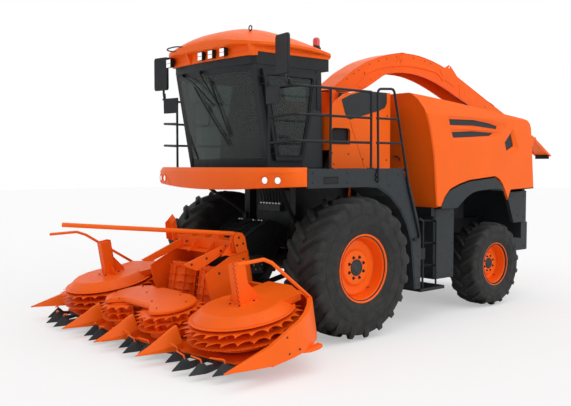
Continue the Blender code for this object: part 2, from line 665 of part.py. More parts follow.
def build_cab(machine):
    base = deck_z + joint_gap
    inner = cab_half - cab_sheet
    floor = box((-inner - 0.01, inner + 0.01), (-0.94, -0.04), (base, cab_floor_top))
    side = prism(side_outline(0.0), "x", inner, cab_half)
    rear = box((-inner - 0.01, inner + 0.01), (-0.09, -0.03), (base, cab_top - 0.01))
    sill = bowed_bar(inner + 0.01, -0.945, -0.96, base, 2.33, 0.10)
    head = bowed_bar(inner + 0.01, -1.175, -1.19, 3.42, cab_top, 0.12)
    x = door_hinge_x
    bracket = ((cab_half - 0.01, -0.045), (cab_half - 0.01, -0.008), (x - 0.009, -0.008), (x - 0.009, 0.009), (x + 0.012, 0.009),
               (x + 0.012, -0.018), (x - 0.03, -0.045))
    hinges = [on_hinge(bracket, share, low, high) for share in door_hinge_shares for low, high in ((-0.051, -0.041), (0.041, 0.051))]
    hinges += [on_hinge(round_section(door_pin_radius), share, -0.046, 0.046) for share in door_hinge_shares]
    cab = fused(floor, rear, sill, head, *both_sides(side), *hinges)
    door_hole = prism(opening_outline, "x", inner - 0.05, cab_half + 0.05)
    rear_hole = box((-0.62, 0.62), (-0.2, 0.2), (2.90, 3.36))
    cab = cut(cab, door_hole, mirrored(prism(opening_outline, "x", inner - 0.05, cab_half + 0.05)), rear_hole)
    piece("cab_frame", cab, "frame_black", machine)

    # The windscreen fills the gap between sill, head and pillars
    pane_half = inner - joint_gap
    z_low, z_high = 2.33 + joint_gap, 3.42 - joint_gap
    lean = (1.175 - 0.96) / (3.42 - 2.33)
    pane = bowed_bar(pane_half, -0.96, -0.96 - lean * (z_high - z_low), z_low, z_high, glass_sheet)
    piece("windscreen", pane, "cab_glass", machine)
    side_pane = mirrored(prism(grown(opening_outline, -joint_gap), "x", cab_half - 0.03, cab_half - 0.03 + glass_sheet))
    piece("side_glass", side_pane, "cab_glass", machine)
    rear_pane = box((-0.62 + joint_gap, 0.62 - joint_gap), (-0.065, -0.065 + glass_sheet), (2.90 + joint_gap, 3.36 - joint_gap))
    piece("rear_glass", rear_pane, "cab_glass", machine)

    # y, half width, z of the lower edge, z of the rim, z of the crown
    stations = ((-1.40, 0.72, 3.66, 3.74, 3.86), (-1.30, 0.90, 3.58, 3.76, 3.96), (-1.20, 0.94, 3.46, 3.765, 3.985),
                (-0.87, 0.99, 3.46, 3.78, 4.05), (-0.35, 0.99, 3.46, 3.76, 3.99), (0.08, 0.95, 3.46, 3.72, 3.86),
                (0.15, 0.88, 3.52, 3.70, 3.82))
    rows = []
    for y, half, low, rim, crown in stations:
        rows.append([(-half + 0.06, y, low), (-half, y, low + 0.06), (-half + 0.02, y, rim), (-0.55 * half, y, crown - 0.03),
                     (0.0, y, crown), (0.55 * half, y, crown - 0.03), (half - 0.02, y, rim), (half, y, low + 0.06),
                     (half - 0.06, y, low)])
    roof = loft(rows)
    seat_cut = box((-1.2, 1.2), (-1.6, 0.4), (3.0, cab_top + joint_gap))
    visor = prism([(-1.5, 3.4), (-1.5, 3.742), (-1.27, 3.762), (-1.27, 3.4)], "x", -0.68, 0.68)
    roof = cut(roof, seat_cut, visor)
    lamps = []
    for x in (-0.42, -0.07, 0.16, 0.42):
        lamps.append(box((x - 0.055, x + 0.055), (-1.37, -1.31), (3.625, 3.73)))
        lamps.append(box((x - 0.012, x + 0.012), (-1.35, -1.33), (3.72, 3.80)))
    beacon = lathe([(0.0, 3.70), (0.055, 3.70), (0.055, 3.90), (0.035, 3.97), (0.0, 3.97)], 12, "z", (0.70, 0.03, 0.0))
    piece("cab_roof", fused(roof, beacon, *lamps), "paint_orange", machine)

    cushion = fused(box((-0.24, 0.24), (-0.60, -0.16), (2.72, 2.82)), box((-0.22, 0.22), (-0.24, -0.13), (2.78, 3.34)),
                    box((-0.16, 0.16), (-0.52, -0.22), (cab_floor_top + joint_gap, 2.74)))
    piece("seat", cushion, "seat_cloth", machine)
    column = tube([(0.0, -0.86, cab_floor_top + joint_gap + 0.03), (0.0, -0.74, 2.96)], 0.04)
    foot = box((-0.12, 0.12), (-0.93, -0.76), (cab_floor_top + joint_gap, cab_floor_top + 0.30))
    wheel_rim = lathe([(0.175, -0.012), (0.20, -0.012), (0.20, 0.012), (0.175, 0.012)], 16, "z", ring=True)
    spoke = box((-0.18, 0.18), (-0.02, 0.02), (-0.008, 0.008))
    wheel_top = moved(fused(wheel_rim, spoke), (0.0, -0.738, 2.97), math.radians(28))
    piece("steering_column", fused(column, foot, wheel_top), "frame_black", machine)


def door_outline():
    return grown(opening_outline, door_lap)


def on_hinge(section, share, low_end, high_end):
    """A prism along the door's hinge line. Section pairs are x and the distance behind the line."""
    low, high = (Vector(point) for point in door_outline()[:2])
    along = (high - low).normalized()
    behind = Vector((along.y, -along.x))
    middle = low + (high - low) * share
    ends = []
    for shift in (low_end, high_end):
        at = middle + along * shift
        ends.append([(x, (at + behind * d).x, (at + behind * d).y) for x, d in section])
    return loft(ends)


def round_section(radius, sides=12):
    angles = [2 * math.pi * i / sides for i in range(sides)]
    return [(door_hinge_x + radius * math.cos(a), radius * math.sin(a)) for a in angles]


def build_door(machine):
    x0 = cab_half + door_gap
    x1 = x0 + door_sheet
    outline = door_outline()
    hole = grown(opening_outline, -0.045)
    frame = cut(prism(outline, "x", x0, x1), prism(hole, "x", x0 - 0.1, x1 + 0.1))
    x = door_hinge_x
    leaf = ((x1 - 0.003, 0.045), (x - 0.004, 0.045), (x + 0.016, 0.006), (x + 0.016, -0.006), (x + 0.008, -0.014),
            (x - 0.008, -0.014), (x1 - 0.003, -0.002))
    leaves = [on_hinge(leaf, share, -0.04, 0.04) for share in door_hinge_shares]
    bores = [on_hinge(round_section(bore_of(door_pin_radius, 12)), share, -0.06, 0.06) for share in door_hinge_shares]
    origin = (x, *outline[0])
    piece("cab_door", cut(fused(frame, *leaves), *bores), "frame_black", machine, origin)
    pane = prism(grown(hole, -joint_gap), "x", x0 + 0.015, x0 + 0.015 + glass_sheet)
    piece("door_glass", pane, "cab_glass", machine, origin)


# Bodywork
def build_bodywork(machine):
    outline = [(housing_front, deck_z + joint_gap), (housing_front, 3.02), (0.30, housing_top - 0.06), (0.85, housing_top),
               (housing_rear, housing_top), (housing_rear, deck_z + joint_gap)]
    side = prism(outline, "x", housing_half - housing_sheet, housing_half)
    deck = box((-housing_half + 0.01, housing_half - 0.01), (housing_front, housing_rear), (well_deck_z - 0.03, well_deck_z))
    front = box((-housing_half + 0.01, housing_half - 0.01), (housing_front, housing_front + 0.03), (2.45, well_deck_z - 0.01))
    housing = fused(deck, front, *both_sides(side))
    hole = cylinder(turret_bore, well_deck_z - 0.1, well_deck_z + 0.1, "z", (0.0, turret_y, 0.0))
    window = prism([(0.08, 2.50), (0.08, 2.72), (0.32, 2.72), (0.32, 2.50)], "x", housing_half - 0.1, housing_half + 0.1)
    piece("service_housing", cut(housing, hole, window), "paint_orange", machine)

    shell = [(1.80, 1.63), (1.72, 2.40), (1.50, 3.07), (1.26, 3.27), (4.14, 3.00), (4.28, 2.90), (4.38, 1.86),
             (3.70, 1.84), (3.62, 1.69), (3.47, 1.93), (3.25, 2.06), (2.58, 2.01), (2.09, 1.88), (1.88, 1.63)]
    hood = prism(shell, "x", -hood_half, hood_half)
    wedge = prism([(hood_half - hood_chamfer, 3.40), (hood_half + 0.1, 3.40), (hood_half + 0.1, 2.96), (hood_half, 2.98)],
                  "y", 1.0, 4.6)
    t = hood_sheet
    hollow = prism([(1.84, 1.2), (1.77, 2.40), (1.56, 3.03), (1.34, 3.21), (4.10, 2.95), (4.23, 2.86), (4.33, 1.2)],
                   "x", -hood_half + t, hood_half - t)
    well = cylinder(0.66, well_deck_z + 0.0, 3.6, "z", (0.0, turret_y, 0.0), 32)
    hood = cut(hood, *both_sides(wedge), hollow, well)
    # Outline in y and z, and the depth of each recess in the side sheets
    panel = [(2.05, 2.95), (2.86, 2.95), (3.52, 2.88), (3.34, 2.66), (2.79, 2.61), (2.17, 2.60)]
    upper = [(2.10, 2.92), (2.70, 2.93), (3.32, 2.86), (3.29, 2.80), (2.68, 2.83), (2.12, 2.82)]
    lower = [(2.14, 2.71), (2.66, 2.75), (3.19, 2.74), (3.10, 2.69), (2.67, 2.67), (2.20, 2.64)]
    lip = [(3.44, 2.62), (3.75, 2.84), (3.91, 2.51), (3.83, 2.41), (3.59, 2.38)]
    window = [(3.52, 2.60), (3.73, 2.75), (3.80, 2.55), (3.59, 2.49)]
    for shape, depth in ((panel, 0.010), (lip, 0.010), (upper, 0.028), (lower, 0.028), (window, 0.028)):
        hood = cut(hood, *both_sides(prism(shape, "x", hood_half - depth, hood_half + 0.01)))
    piece("hood", hood, "paint_orange", machine)

    for side, hand in ((1, "l"), (-1, "r")):
        x0, x1 = rail_x + rail_width / 2 + joint_gap, 1.30
        arch = [(1.90, 1.59), (1.893, 1.62), (2.094, 1.871), (2.582, 2.003), (3.247, 2.053), (3.463, 1.925), (3.51, 1.85),
                (3.48, 1.83), (3.41, 1.86), (3.01, 1.85), (2.66, 1.83), (2.41, 1.69), (2.28, 1.59)]
        tank = fused(box((x0, x1), (1.87, 2.33), (0.56, 1.60)), prism(arch, "x", 1.18, hood_half - 0.002))
        if side < 0:
            tank = mirrored(tank)
        piece("side_tank_" + hand, tank, "paint_grey", machine)

    corner = prism([(3.76, 1.80), (4.36, 1.82), (4.36, 1.30), (3.98, 1.30)], "x", 1.22, 1.28)
    cross = box((-1.25, 1.25), (rail_rear + joint_gap, rail_rear + 0.10), (1.02, 1.857))
    tail = box((-1.0, 1.0), (rail_rear + 0.06, 4.85), (0.77, 1.26))
    piece("rear_frame", fused(tail, cross, *both_sides(corner)), "paint_grey", machine)


# Discharge spout
def build_spout(machine):
    top = turret_top
    profile = [(turret_bore + 0.004, well_deck_z + joint_gap), (0.34, well_deck_z + joint_gap), (0.34, well_deck_z + 0.03),
               (turret_radius, well_deck_z + 0.03), (turret_radius, top), (turret_bore + 0.004, top)]
    turret = lathe(profile, round_sides, "z", (0.0, turret_y, 0.0), ring=True)
    ear = prism([(spout_hinge_y - 0.05, spout_hinge_z), (spout_hinge_y, spout_hinge_z + 0.05), (spout_hinge_y + 0.05, spout_hinge_z),
                 (0.98, top - 0.10), (spout_hinge_y + 0.02, top - 0.10)], "x", spout_half + running_gap, spout_half + 0.03)
    pin_bore = bore(bore_of(0.018, 12), 0.1, 0.4, "x", (0.0, spout_hinge_y, spout_hinge_z), 12)
    turret = cut(fused(turret, *both_sides(ear)), *both_sides(pin_bore))
    piece("turret", turret, "paint_orange", machine, (0.0, turret_y, well_deck_z), smooth=35)

    # y and z of the upper edge, then y and z of the lower edge
    stations = ((0.80, 3.36, 1.24, 3.355), (1.05, 3.52, 1.40, 3.375), (1.37, 3.72, 1.61, 3.45), (1.93, 3.95, 2.05, 3.68),
                (2.45, 4.06, 2.45, 3.74), (3.32, 3.97, 3.20, 3.66), (4.18, 3.66, 4.02, 3.39), (5.17, 3.27, 5.04, 3.05),
                (6.45, 2.78, 6.36, 2.60))
    half, t = spout_half, spout_sheet
    shell = loft([[(-half, a, b), (half, a, b), (half, c, d), (-half, c, d)] for a, b, c, d in stations])
    inner = []
    for i, (a, b, c, d) in enumerate(stations):
        up = (Vector((a, b)) - Vector((c, d))).normalized()
        drop = 0.12 if i > 4 else -t
        hi = Vector((a, b)) - up * t
        lo = Vector((c, d)) - up * drop
        inner.append([(-half + t, hi.x, hi.y), (half - t, hi.x, hi.y), (half - t, lo.x, lo.y), (-half + t, lo.x, lo.y)])
    first, last = inner[0], inner[-1]
    inner[0] = [(x, y - 0.05, z - 0.10) for x, y, z in first]
    inner[-1] = [(x, y + 0.10, z - 0.04) for x, y, z in last]
    spout = cut(shell, loft(inner))
    pin = cylinder(0.018, -half - 0.026, -half + t / 2, "x", (0.0, spout_hinge_y, spout_hinge_z), 12)
    cheek = prism([(0.775, 3.35), (0.775, 3.395), (0.87, 3.43), (0.95, 3.36)], "x", half - t, half)
    y, z = flap_hinge_y, flap_hinge_z
    ear = prism([(y - 0.12, z - 0.06), (y - 0.12, z + 0.015), (y, z + 0.022), (y + 0.022, z), (y, z - 0.025)],
                "x", half - t + 0.002, half - 0.002)
    flap_bore = bore(bore_of(flap_pin_radius, 12), half - 0.1, half + 0.1, "x", (0.0, y, z), 12)
    spout = cut(fused(spout, *both_sides(cheek, ear, pin)), *both_sides(flap_bore))
    piece("spout", spout, "paint_orange", machine, (0.0, spout_hinge_y, spout_hinge_z))

    wide = half - t - running_gap
    plate = prism([(y + 0.004, z - 0.008), (y + 0.008, z + 0.006), (y + 0.635, z - 0.335), (y + 0.625, z - 0.35)], "x", -wide, wide)
    brim = prism([(y + 0.02, z - 0.04), (y + 0.02, z - 0.004), (y + 0.60, z - 0.322), (y + 0.60, z - 0.35)], "x", wide - 0.012, wide - 0.001)
    roll = cylinder(0.016, -wide + 0.001, wide - 0.001, "x", (0.0, y, z), 12)
    pin = cylinder(flap_pin_radius, -half + 0.002, half - 0.002, "x", (0.0, y, z), 12)
    piece("spout_flap", fused(plate, *both_sides(brim), roll, pin), "paint_orange", machine, (0.0, y, z))


# Feeder and its lift cylinders
def header_point(y, z):
    """The machine's y and z of a point of the header's own frame."""
    return (header_y + y * math.cos(header_tilt) - z * math.sin(header_tilt),
            header_z + y * math.sin(header_tilt) + z * math.cos(header_tilt))


def build_feeder(machine):
    low = header_point(intake_rear + joint_gap, 0.08)
    high = header_point(intake_rear + joint_gap, 0.80)
    outline = [high, (-0.46, 1.50), (-0.27, 1.42), (-0.27, 1.16), (-0.55, 0.82), low]
    body = prism(outline, "x", -feeder_half, feeder_half)
    pin = cylinder(feeder_pin_radius, feeder_half - 0.02, feeder_half + 0.075, "x", (0.0, feeder_pivot_y, feeder_pivot_z))
    rod_pin = cylinder(lift_pin_radius, feeder_half - 0.02, lift_cylinder_x + 0.025, "x", (0.0, rod_pin_y, rod_pin_z), 16)
    piece("feeder_housing", fused(body, *both_sides(pin, rod_pin)), "frame_black", machine, (0.0, feeder_pivot_y, feeder_pivot_z))

    start = Vector((0.0, barrel_pin_y, barrel_pin_z))
    end = Vector((0.0, rod_pin_y, rod_pin_z))
    run = (end - start).normalized()
    length = (end - start).length
    for side, hand in ((1, "l"), (-1, "r")):
        x = side * lift_cylinder_x
        at = Vector((x, 0.0, 0.0))
        eye = cylinder(0.045, x - 0.018, x + 0.018, "x", tuple(start), 16)
        barrel = tube([at + start + run * 0.036, at + start + run * 0.50], 0.035, 12)
        barrel = fused(eye, barrel)
        barrel = cut(barrel, bore(bore_of(lift_pin_radius, 16), x - 0.1, x + 0.1, "x", tuple(start), 16),
                     tube([at + start + run * 0.10, at + start + run * 0.60], lift_rod_radius + pin_gap, 12))
        piece("lift_barrel_" + hand, barrel, "frame_black", machine, tuple(at + start))
        rod = tube([at + start + run * 0.20, at + start + run * (length - 0.03)], lift_rod_radius, 12)
        rod = fused(rod, cylinder(0.045, x - 0.018, x + 0.018, "x", tuple(end), 16))
        rod = cut(rod, bore(bore_of(lift_pin_radius, 16) + lift_eye_play, x - 0.1, x + 0.1, "x", tuple(end), 16))
        piece("lift_rod_" + hand, rod, "cylinder_rod", machine, tuple(at + start + run * 0.5))


# Header
def saw(tip, root, teeth, low, high):
    """A disc with hooked teeth."""
    outline = []
    for k in range(teeth):
        a = 2 * math.pi * k / teeth
        b = a + 0.16 * 2 * math.pi / teeth
        outline += [(root * math.cos(a), root * math.sin(a)), (tip * math.cos(b), tip * math.sin(b))]
    return prism(outline, "z", low, high)


def rotor_solid(radius, root, knife, core, teeth, top):
    """Two toothed discs and a knife ring on a drum, with a bore for the spindle."""
    low = floor_sheet + 0.01
    body = cylinder(core, low, top)
    plates = [saw(radius, root, teeth, z, z + 0.010) for z in saw_levels]
    ring = cylinder(knife, knife_level, knife_level + 0.010, sides=24)
    return cut(fused(body, ring, *plates), bore(bore_of(spindle_radius), 0.0, 1.0))


def drum_solid():
    core = cylinder(drum_radius - 0.05, 0.0, drum_height, sides=drum_sides)
    levels = [share * drum_height for share in (0.08, 0.29, 0.50, 0.71, 0.92)]
    plates = [saw(drum_radius, drum_radius - 0.035, 9, z - 0.006, z + 0.006) for z in levels]
    return cut(fused(core, *plates), bore(bore_of(drum_pin_radius, drum_sides), -0.1, 1.0, sides=drum_sides))


def rotor_front(x):
    """The front of the rotors' tip circles at this x of the header."""
    reach = []
    for radius, cx, cy in ((outer_rotor_radius, outer_rotor_x, 0.0), (inner_rotor_radius, inner_rotor_x, inner_rotor_y)):
        if abs(x - cx) < radius:
            reach.append(cy - math.sqrt(radius ** 2 - (x - cx) ** 2))
    return min(reach)


def floor_front(edge, x):
    """The front edge of the floor at this x."""
    for (x1, y1), (x0, y0) in zip(edge, edge[1:]):
        if x0 <= x <= x1:
            return y0 + (y1 - y0) * (x - x0) / (x1 - x0)
    return edge[0][1]


def build_header(header):
    half = header_half
    wrap = rotor_reach
    arc = [(outer_rotor_x + wrap * math.cos(a), wrap * math.sin(a)) for a in [math.radians(15 * i) for i in range(7)]]
    inner_arc = [(outer_rotor_x + (wrap - wall_sheet) * math.cos(a), (wrap - wall_sheet) * math.sin(a))
                 for a in [math.radians(15 * i) for i in range(7)]]
    edge = [(half - 0.305, -0.46), (outer_rotor_x - 0.50, -0.56), (inner_rotor_x + 0.30, -0.62), (0.0, -0.62)]
    right = [(half, -0.10), *arc, (intake_half, wrap)]
    outline = right[1:] + [(-x, y) for x, y in reversed(right[1:])] + [(-half, -0.10)]
    outline += [(-x, y) for x, y in edge] + [(x, y) for x, y in reversed(edge[:-1])] + [(half, -0.10)]
    floor = prism(outline, "z", 0.0, floor_sheet)
    band = prism([(half, -0.34), *arc, (intake_half - 0.01, wrap), (intake_half - 0.01, wrap - wall_sheet),
                  *reversed(inner_arc), (half - wall_sheet, -0.34)], "z", 0.0, wall_height)
    slope = prism([(-0.60, 0.19), (-0.26, 0.21), (0.24, 0.37), (0.42, wall_height + 0.01), (0.42, 0.7), (-0.60, 0.7)],
                  "x", outer_rotor_x + 0.3, half + 0.1)
    band = cut(band, slope)
    box_out = box((-intake_half, intake_half), (intake_front, intake_rear), (0.0, intake_height))
    throat = box((-intake_half + wall_sheet, intake_half - wall_sheet), (0.0, intake_rear - wall_sheet),
                 (floor_sheet, intake_height - wall_sheet))
    mouth = box((-mouth_half, mouth_half), (intake_front, intake_rear + 0.1), (0.08, intake_height - 0.06))
    beam = box((-0.80, 0.62), (intake_rear - 0.18, intake_rear - 0.07), (intake_height - 0.01, 0.95))
    ear = prism([(-0.92, 0.86), (-0.92, 1.16), (-0.80, 1.22), (-0.74, 1.16), (-0.74, 0.86)], "y", 0.74, 0.77)
    plate = prism([(0.68, 0.80), (0.68, 0.98), (0.76, 1.06), (0.86, 1.02), (0.88, 0.80)], "x", 0.61, 0.63)
    side = half - 0.002
    nose = loft([[(side - 0.16, -0.29, 0.012), (side, -0.29, 0.012), (side, -0.29, 0.20), (side - 0.16, -0.29, 0.17)],
                 [(side - 0.01, -0.88, 0.135), (side, -0.88, 0.135), (side, -0.88, 0.145), (side - 0.01, -0.88, 0.145)]])
    spindles = [cylinder(spindle_radius, 0.01, cover_z - joint_gap, "z", (x, y, 0.0))
                for x, y in ((outer_rotor_x, 0.0), (inner_rotor_x, inner_rotor_y))]
    divider = loft([[(-0.09, -0.52, 0.01), (0.09, -0.52, 0.01), (0.07, -0.52, 0.28), (-0.07, -0.52, 0.28)],
                    [(-0.08, -0.68, 0.02), (0.08, -0.68, 0.02), (0.05, -0.68, 0.25), (-0.05, -0.68, 0.25)],
                    [(-0.006, -1.07, 0.107), (0.006, -1.07, 0.107), (0.006, -1.07, 0.117), (-0.006, -1.07, 0.117)]])
    centre_divider = divider.copy()
    moved(centre_divider, (0.0, -0.03, 0.0))
    moved(divider, ((outer_rotor_x + inner_rotor_x) / 2 - 0.07, 0.0, 0.0))
    axis = Vector((0.0, math.sin(drum_lean), math.cos(drum_lean)))
    base = Vector((drum_x, drum_y, drum_base_z))
    drum_pin = tube([base - axis * (drum_base_z / axis.z - 0.01), base + axis * (drum_height - 0.02)], drum_pin_radius, drum_sides)
    intake = cut(box_out, throat, mouth)
    cheek = prism([(0.20, 0.39), (0.24, 0.25), (intake_front + 0.02, 0.25), (intake_front + 0.02, 0.785), (0.20, 0.66)],
                  "x", intake_half - wall_sheet, intake_half)
    guide = prism([(0.03, 0.81), (intake_front + 0.06, 0.89), (intake_front + 0.10, 0.785), (0.19, 0.68)], "x", 0.475, 0.49)
    wall = wrap - wall_sheet / 2
    foot = (outer_rotor_x + wall * math.cos(math.radians(60)), wall * math.sin(math.radians(60)), wall_height - 0.04)
    arm = tube([foot, (foot[0] + 0.19, 0.05, 1.00), (foot[0] + 0.215, -0.07, 1.07), (foot[0] + 0.265, -0.45, 1.12)], 0.022)
    frame = fused(floor, band, mirrored(band), intake, beam, ear, plate, centre_divider,
                  *both_sides(nose, divider, drum_pin, cheek, guide, arm, *spindles))
    piece("header_frame", frame, "paint_orange", header)

    for side, hand in ((1, "l"), (-1, "r")):
        drum = drum_solid()
        if side > 0:
            drum = mirrored(drum)
        drum = piece("feed_drum_" + hand, drum, "paint_orange", header)
        drum.location = (side * drum_x, drum_y, drum_base_z)
        drum.rotation_euler = (-drum_lean, 0.0, 0.0)

    top = cover_z + cover_rise
    x = outer_rotor_x
    cone = lathe([(0.0, cover_z), (outer_cover_radius, cover_z), (outer_cover_radius, cover_z + 0.008),
                  (outer_cover_flat, top), (0.0, top)], round_sides, "z", (x, 0.0, 0.0))
    back = wrap - wall_sheet - joint_gap
    apron = prism([(x - 0.42, 0.01), (x + 0.35, 0.01), (x + 0.35, 0.60), (x, back), (x - 0.42, back)], "z", cover_z + 0.001, top - 0.001)
    post = box((x - 0.06, x + 0.06), (-0.06, 0.10), (top - 0.02, top + post_height))
    cover = fused(cone, apron, post)
    for side, hand, solid in ((1, "l", cover), (-1, "r", mirrored(cover))):
        piece("drum_cover_" + hand, solid, "paint_orange", header)
        tip = outer_rotor_radius
        rotor = rotor_solid(tip, tip - 0.085, tip - 0.035, 0.40, 24, cover_z - running_gap)
        if side < 0:
            rotor = mirrored(rotor)
        piece("outer_rotor_" + hand, rotor, "paint_orange", header).location = (side * outer_rotor_x, 0.0, 0.0)
        tip = inner_rotor_radius
        rotor = rotor_solid(tip, tip - 0.065, tip - 0.015, 0.28, 18, cover_z - running_gap)
        if side < 0:
            rotor = mirrored(rotor)
        piece("inner_rotor_" + hand, rotor, "paint_orange", header).location = (side * inner_rotor_x, inner_rotor_y, 0.0)

    lid = [cylinder(inner_cover_radius, cover_z, cover_z + 0.03, "z", (s * inner_rotor_x, inner_rotor_y, 0.0)) for s in (1, -1)]
    web = box((-inner_rotor_x, inner_rotor_x), (inner_rotor_y - 0.22, inner_rotor_y + 0.34), (cover_z, cover_z + 0.03))
    piece("centre_cover", fused(web, *lid), "paint_orange", header)

    depth = 0.03
    strip = prism([(x, y - 0.02) for x, y in edge] + [(-x, y - 0.02) for x, y in reversed(edge[:-1])]
                  + [(-edge[0][0], -0.38), (edge[0][0], -0.38)], "z", -depth, -joint_gap)
    points = []
    places = [inner_rotor_x + shift for shift in (-0.24, -0.02, 0.21)]
    places += [outer_rotor_x + shift for shift in (-0.37, -0.08, 0.20, 0.44)]
    for x in places:
        rim = floor_front(edge, x)
        y = min(rim, rotor_front(x))
        # y of the section, half width below and above, z of the lower and upper face
        rows = ((rim + 0.07, 0.05, 0.05, 0.008 - depth, -0.008), (rim - 0.004, 0.05, 0.045, 0.004 - depth, -0.004),
                (y - 0.035, 0.05, 0.03, 0.003 - depth, 0.03), (y - 0.09, 0.044, 0.005, 0.004 - depth, 0.11),
                (y - 0.27, 0.004, 0.003, 0.005, 0.012))
        points.append(loft([[(x - wide, place, low), (x + wide, place, low), (x + thin, place, high), (x - thin, place, high)]
                            for place, wide, thin, low, high in rows]))
    piece("crop_lifters", fused(strip, joined(*both_sides(*points))), "paint_grey", header)

    bar = tube([(0.55, 0.78, 0.95 + 0.04 + joint_gap), (-0.93, -0.80, 1.42)], 0.03, 10)
    foot = cylinder(0.028, 0.95 + joint_gap, 0.99, "z", (0.50, intake_rear - 0.125, 0.0), 12)
    piece("crop_bar", fused(bar, foot), "paint_orange", header)


def main():
    clear_scene()
    machine = frame_empty("machine", (0.0, machine_shift, 0.0))
    header = frame_empty("header", (0.0, header_y, header_z), header_tilt, machine)
    build_wheels(machine)
    build_axles(machine)
    build_chassis(machine)
    build_platform(machine)
    build_rails(machine)
    build_cab(machine)
    build_door(machine)
    build_bodywork(machine)
    build_spout(machine)
    build_feeder(machine)
    build_header(header)


main()
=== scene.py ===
# Looks of the self-propelled forage harvester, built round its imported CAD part.
# Meshes are written from the ground below the front axle's middle: +X the machine's left, -Y ahead.
# Header pieces are written in the header's own frame, which leans nose down.
import json
import math

import bmesh
import bpy
from mathutils import Matrix, Vector
from mathutils.geometry import tessellate_polygon

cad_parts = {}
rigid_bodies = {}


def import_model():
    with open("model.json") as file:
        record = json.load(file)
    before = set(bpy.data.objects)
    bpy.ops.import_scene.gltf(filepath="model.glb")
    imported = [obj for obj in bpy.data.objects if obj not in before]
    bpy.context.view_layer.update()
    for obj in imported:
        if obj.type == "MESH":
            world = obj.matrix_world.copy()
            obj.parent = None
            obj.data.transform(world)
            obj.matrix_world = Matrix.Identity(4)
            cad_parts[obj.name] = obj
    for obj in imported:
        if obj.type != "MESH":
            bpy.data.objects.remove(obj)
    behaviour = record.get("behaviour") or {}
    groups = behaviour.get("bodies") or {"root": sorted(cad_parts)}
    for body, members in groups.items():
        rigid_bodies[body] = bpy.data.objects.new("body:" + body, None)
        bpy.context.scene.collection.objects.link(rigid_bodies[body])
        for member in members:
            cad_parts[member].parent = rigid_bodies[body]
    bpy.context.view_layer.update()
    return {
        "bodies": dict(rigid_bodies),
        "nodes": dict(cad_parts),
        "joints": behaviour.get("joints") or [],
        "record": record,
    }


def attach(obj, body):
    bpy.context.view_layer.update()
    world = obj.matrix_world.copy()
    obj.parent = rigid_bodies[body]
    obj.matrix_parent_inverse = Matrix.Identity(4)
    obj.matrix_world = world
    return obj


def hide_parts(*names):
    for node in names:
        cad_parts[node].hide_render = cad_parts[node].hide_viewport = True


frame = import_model()
frontAxleY = -2.073
headerSeat = {"y": -1.85, "z": 0.226, "lean": 10}
machinePlace = Matrix.Translation((0, frontAxleY, 0))
headerPlace = machinePlace @ Matrix.Translation((0, headerSeat["y"], headerSeat["z"]))
headerPlace = headerPlace @ Matrix.Rotation(math.radians(headerSeat["lean"]), 4, "X")

# Tops of the solids that pieces stand on, each with 0.6 mm to spare, the turret's centre and the skirt's face
deckTop = 2.2006
cabFloor = 2.2706
wellTop = 2.9406
turretY = 1.05
skirtX = 1.52


# Materials. Noise scales are per metre of the piece
noiseScale = {"drift": 2.2, "patches": 9, "gloss": 14}


def linear(hexColour):
    # sRGB hex to linear RGBA
    values = [int(hexColour[i:i + 2], 16) / 255 for i in (1, 3, 5)]
    return [v / 12.92 if v <= 0.04045 else ((v + 0.055) / 1.055) ** 2.4 for v in values] + [1.0]


def addNode(tree, kind, values=None, links=None, **settings):
    made = tree.nodes.new(kind)
    for key, value in settings.items():
        setattr(made, key, value)
    for key, value in (values or {}).items():
        made.inputs[key].default_value = value
    for key, source in (links or {}).items():
        tree.links.new(source, made.inputs[key])
    return made


def ramp(tree, source, stops):
    made = addNode(tree, "ShaderNodeValToRGB", links={"Fac": source})
    elements = made.color_ramp.elements
    for i, (place, colour) in enumerate(stops):
        element = elements[i] if i < 2 else elements.new(place)
        element.position = place
        element.color = colour if len(colour) == 4 else (*colour, 1)
    return made.outputs["Color"]


def grain(tree, scale, detail=3, roughness=0.5):
    # Noise in the piece's own metres
    coords = addNode(tree, "ShaderNodeTexCoord")
    noise = addNode(tree, "ShaderNodeTexNoise", {"Scale": scale, "Detail": detail, "Roughness": roughness},
        {"Vector": coords.outputs["Object"]})
    return noise.outputs["Fac"]


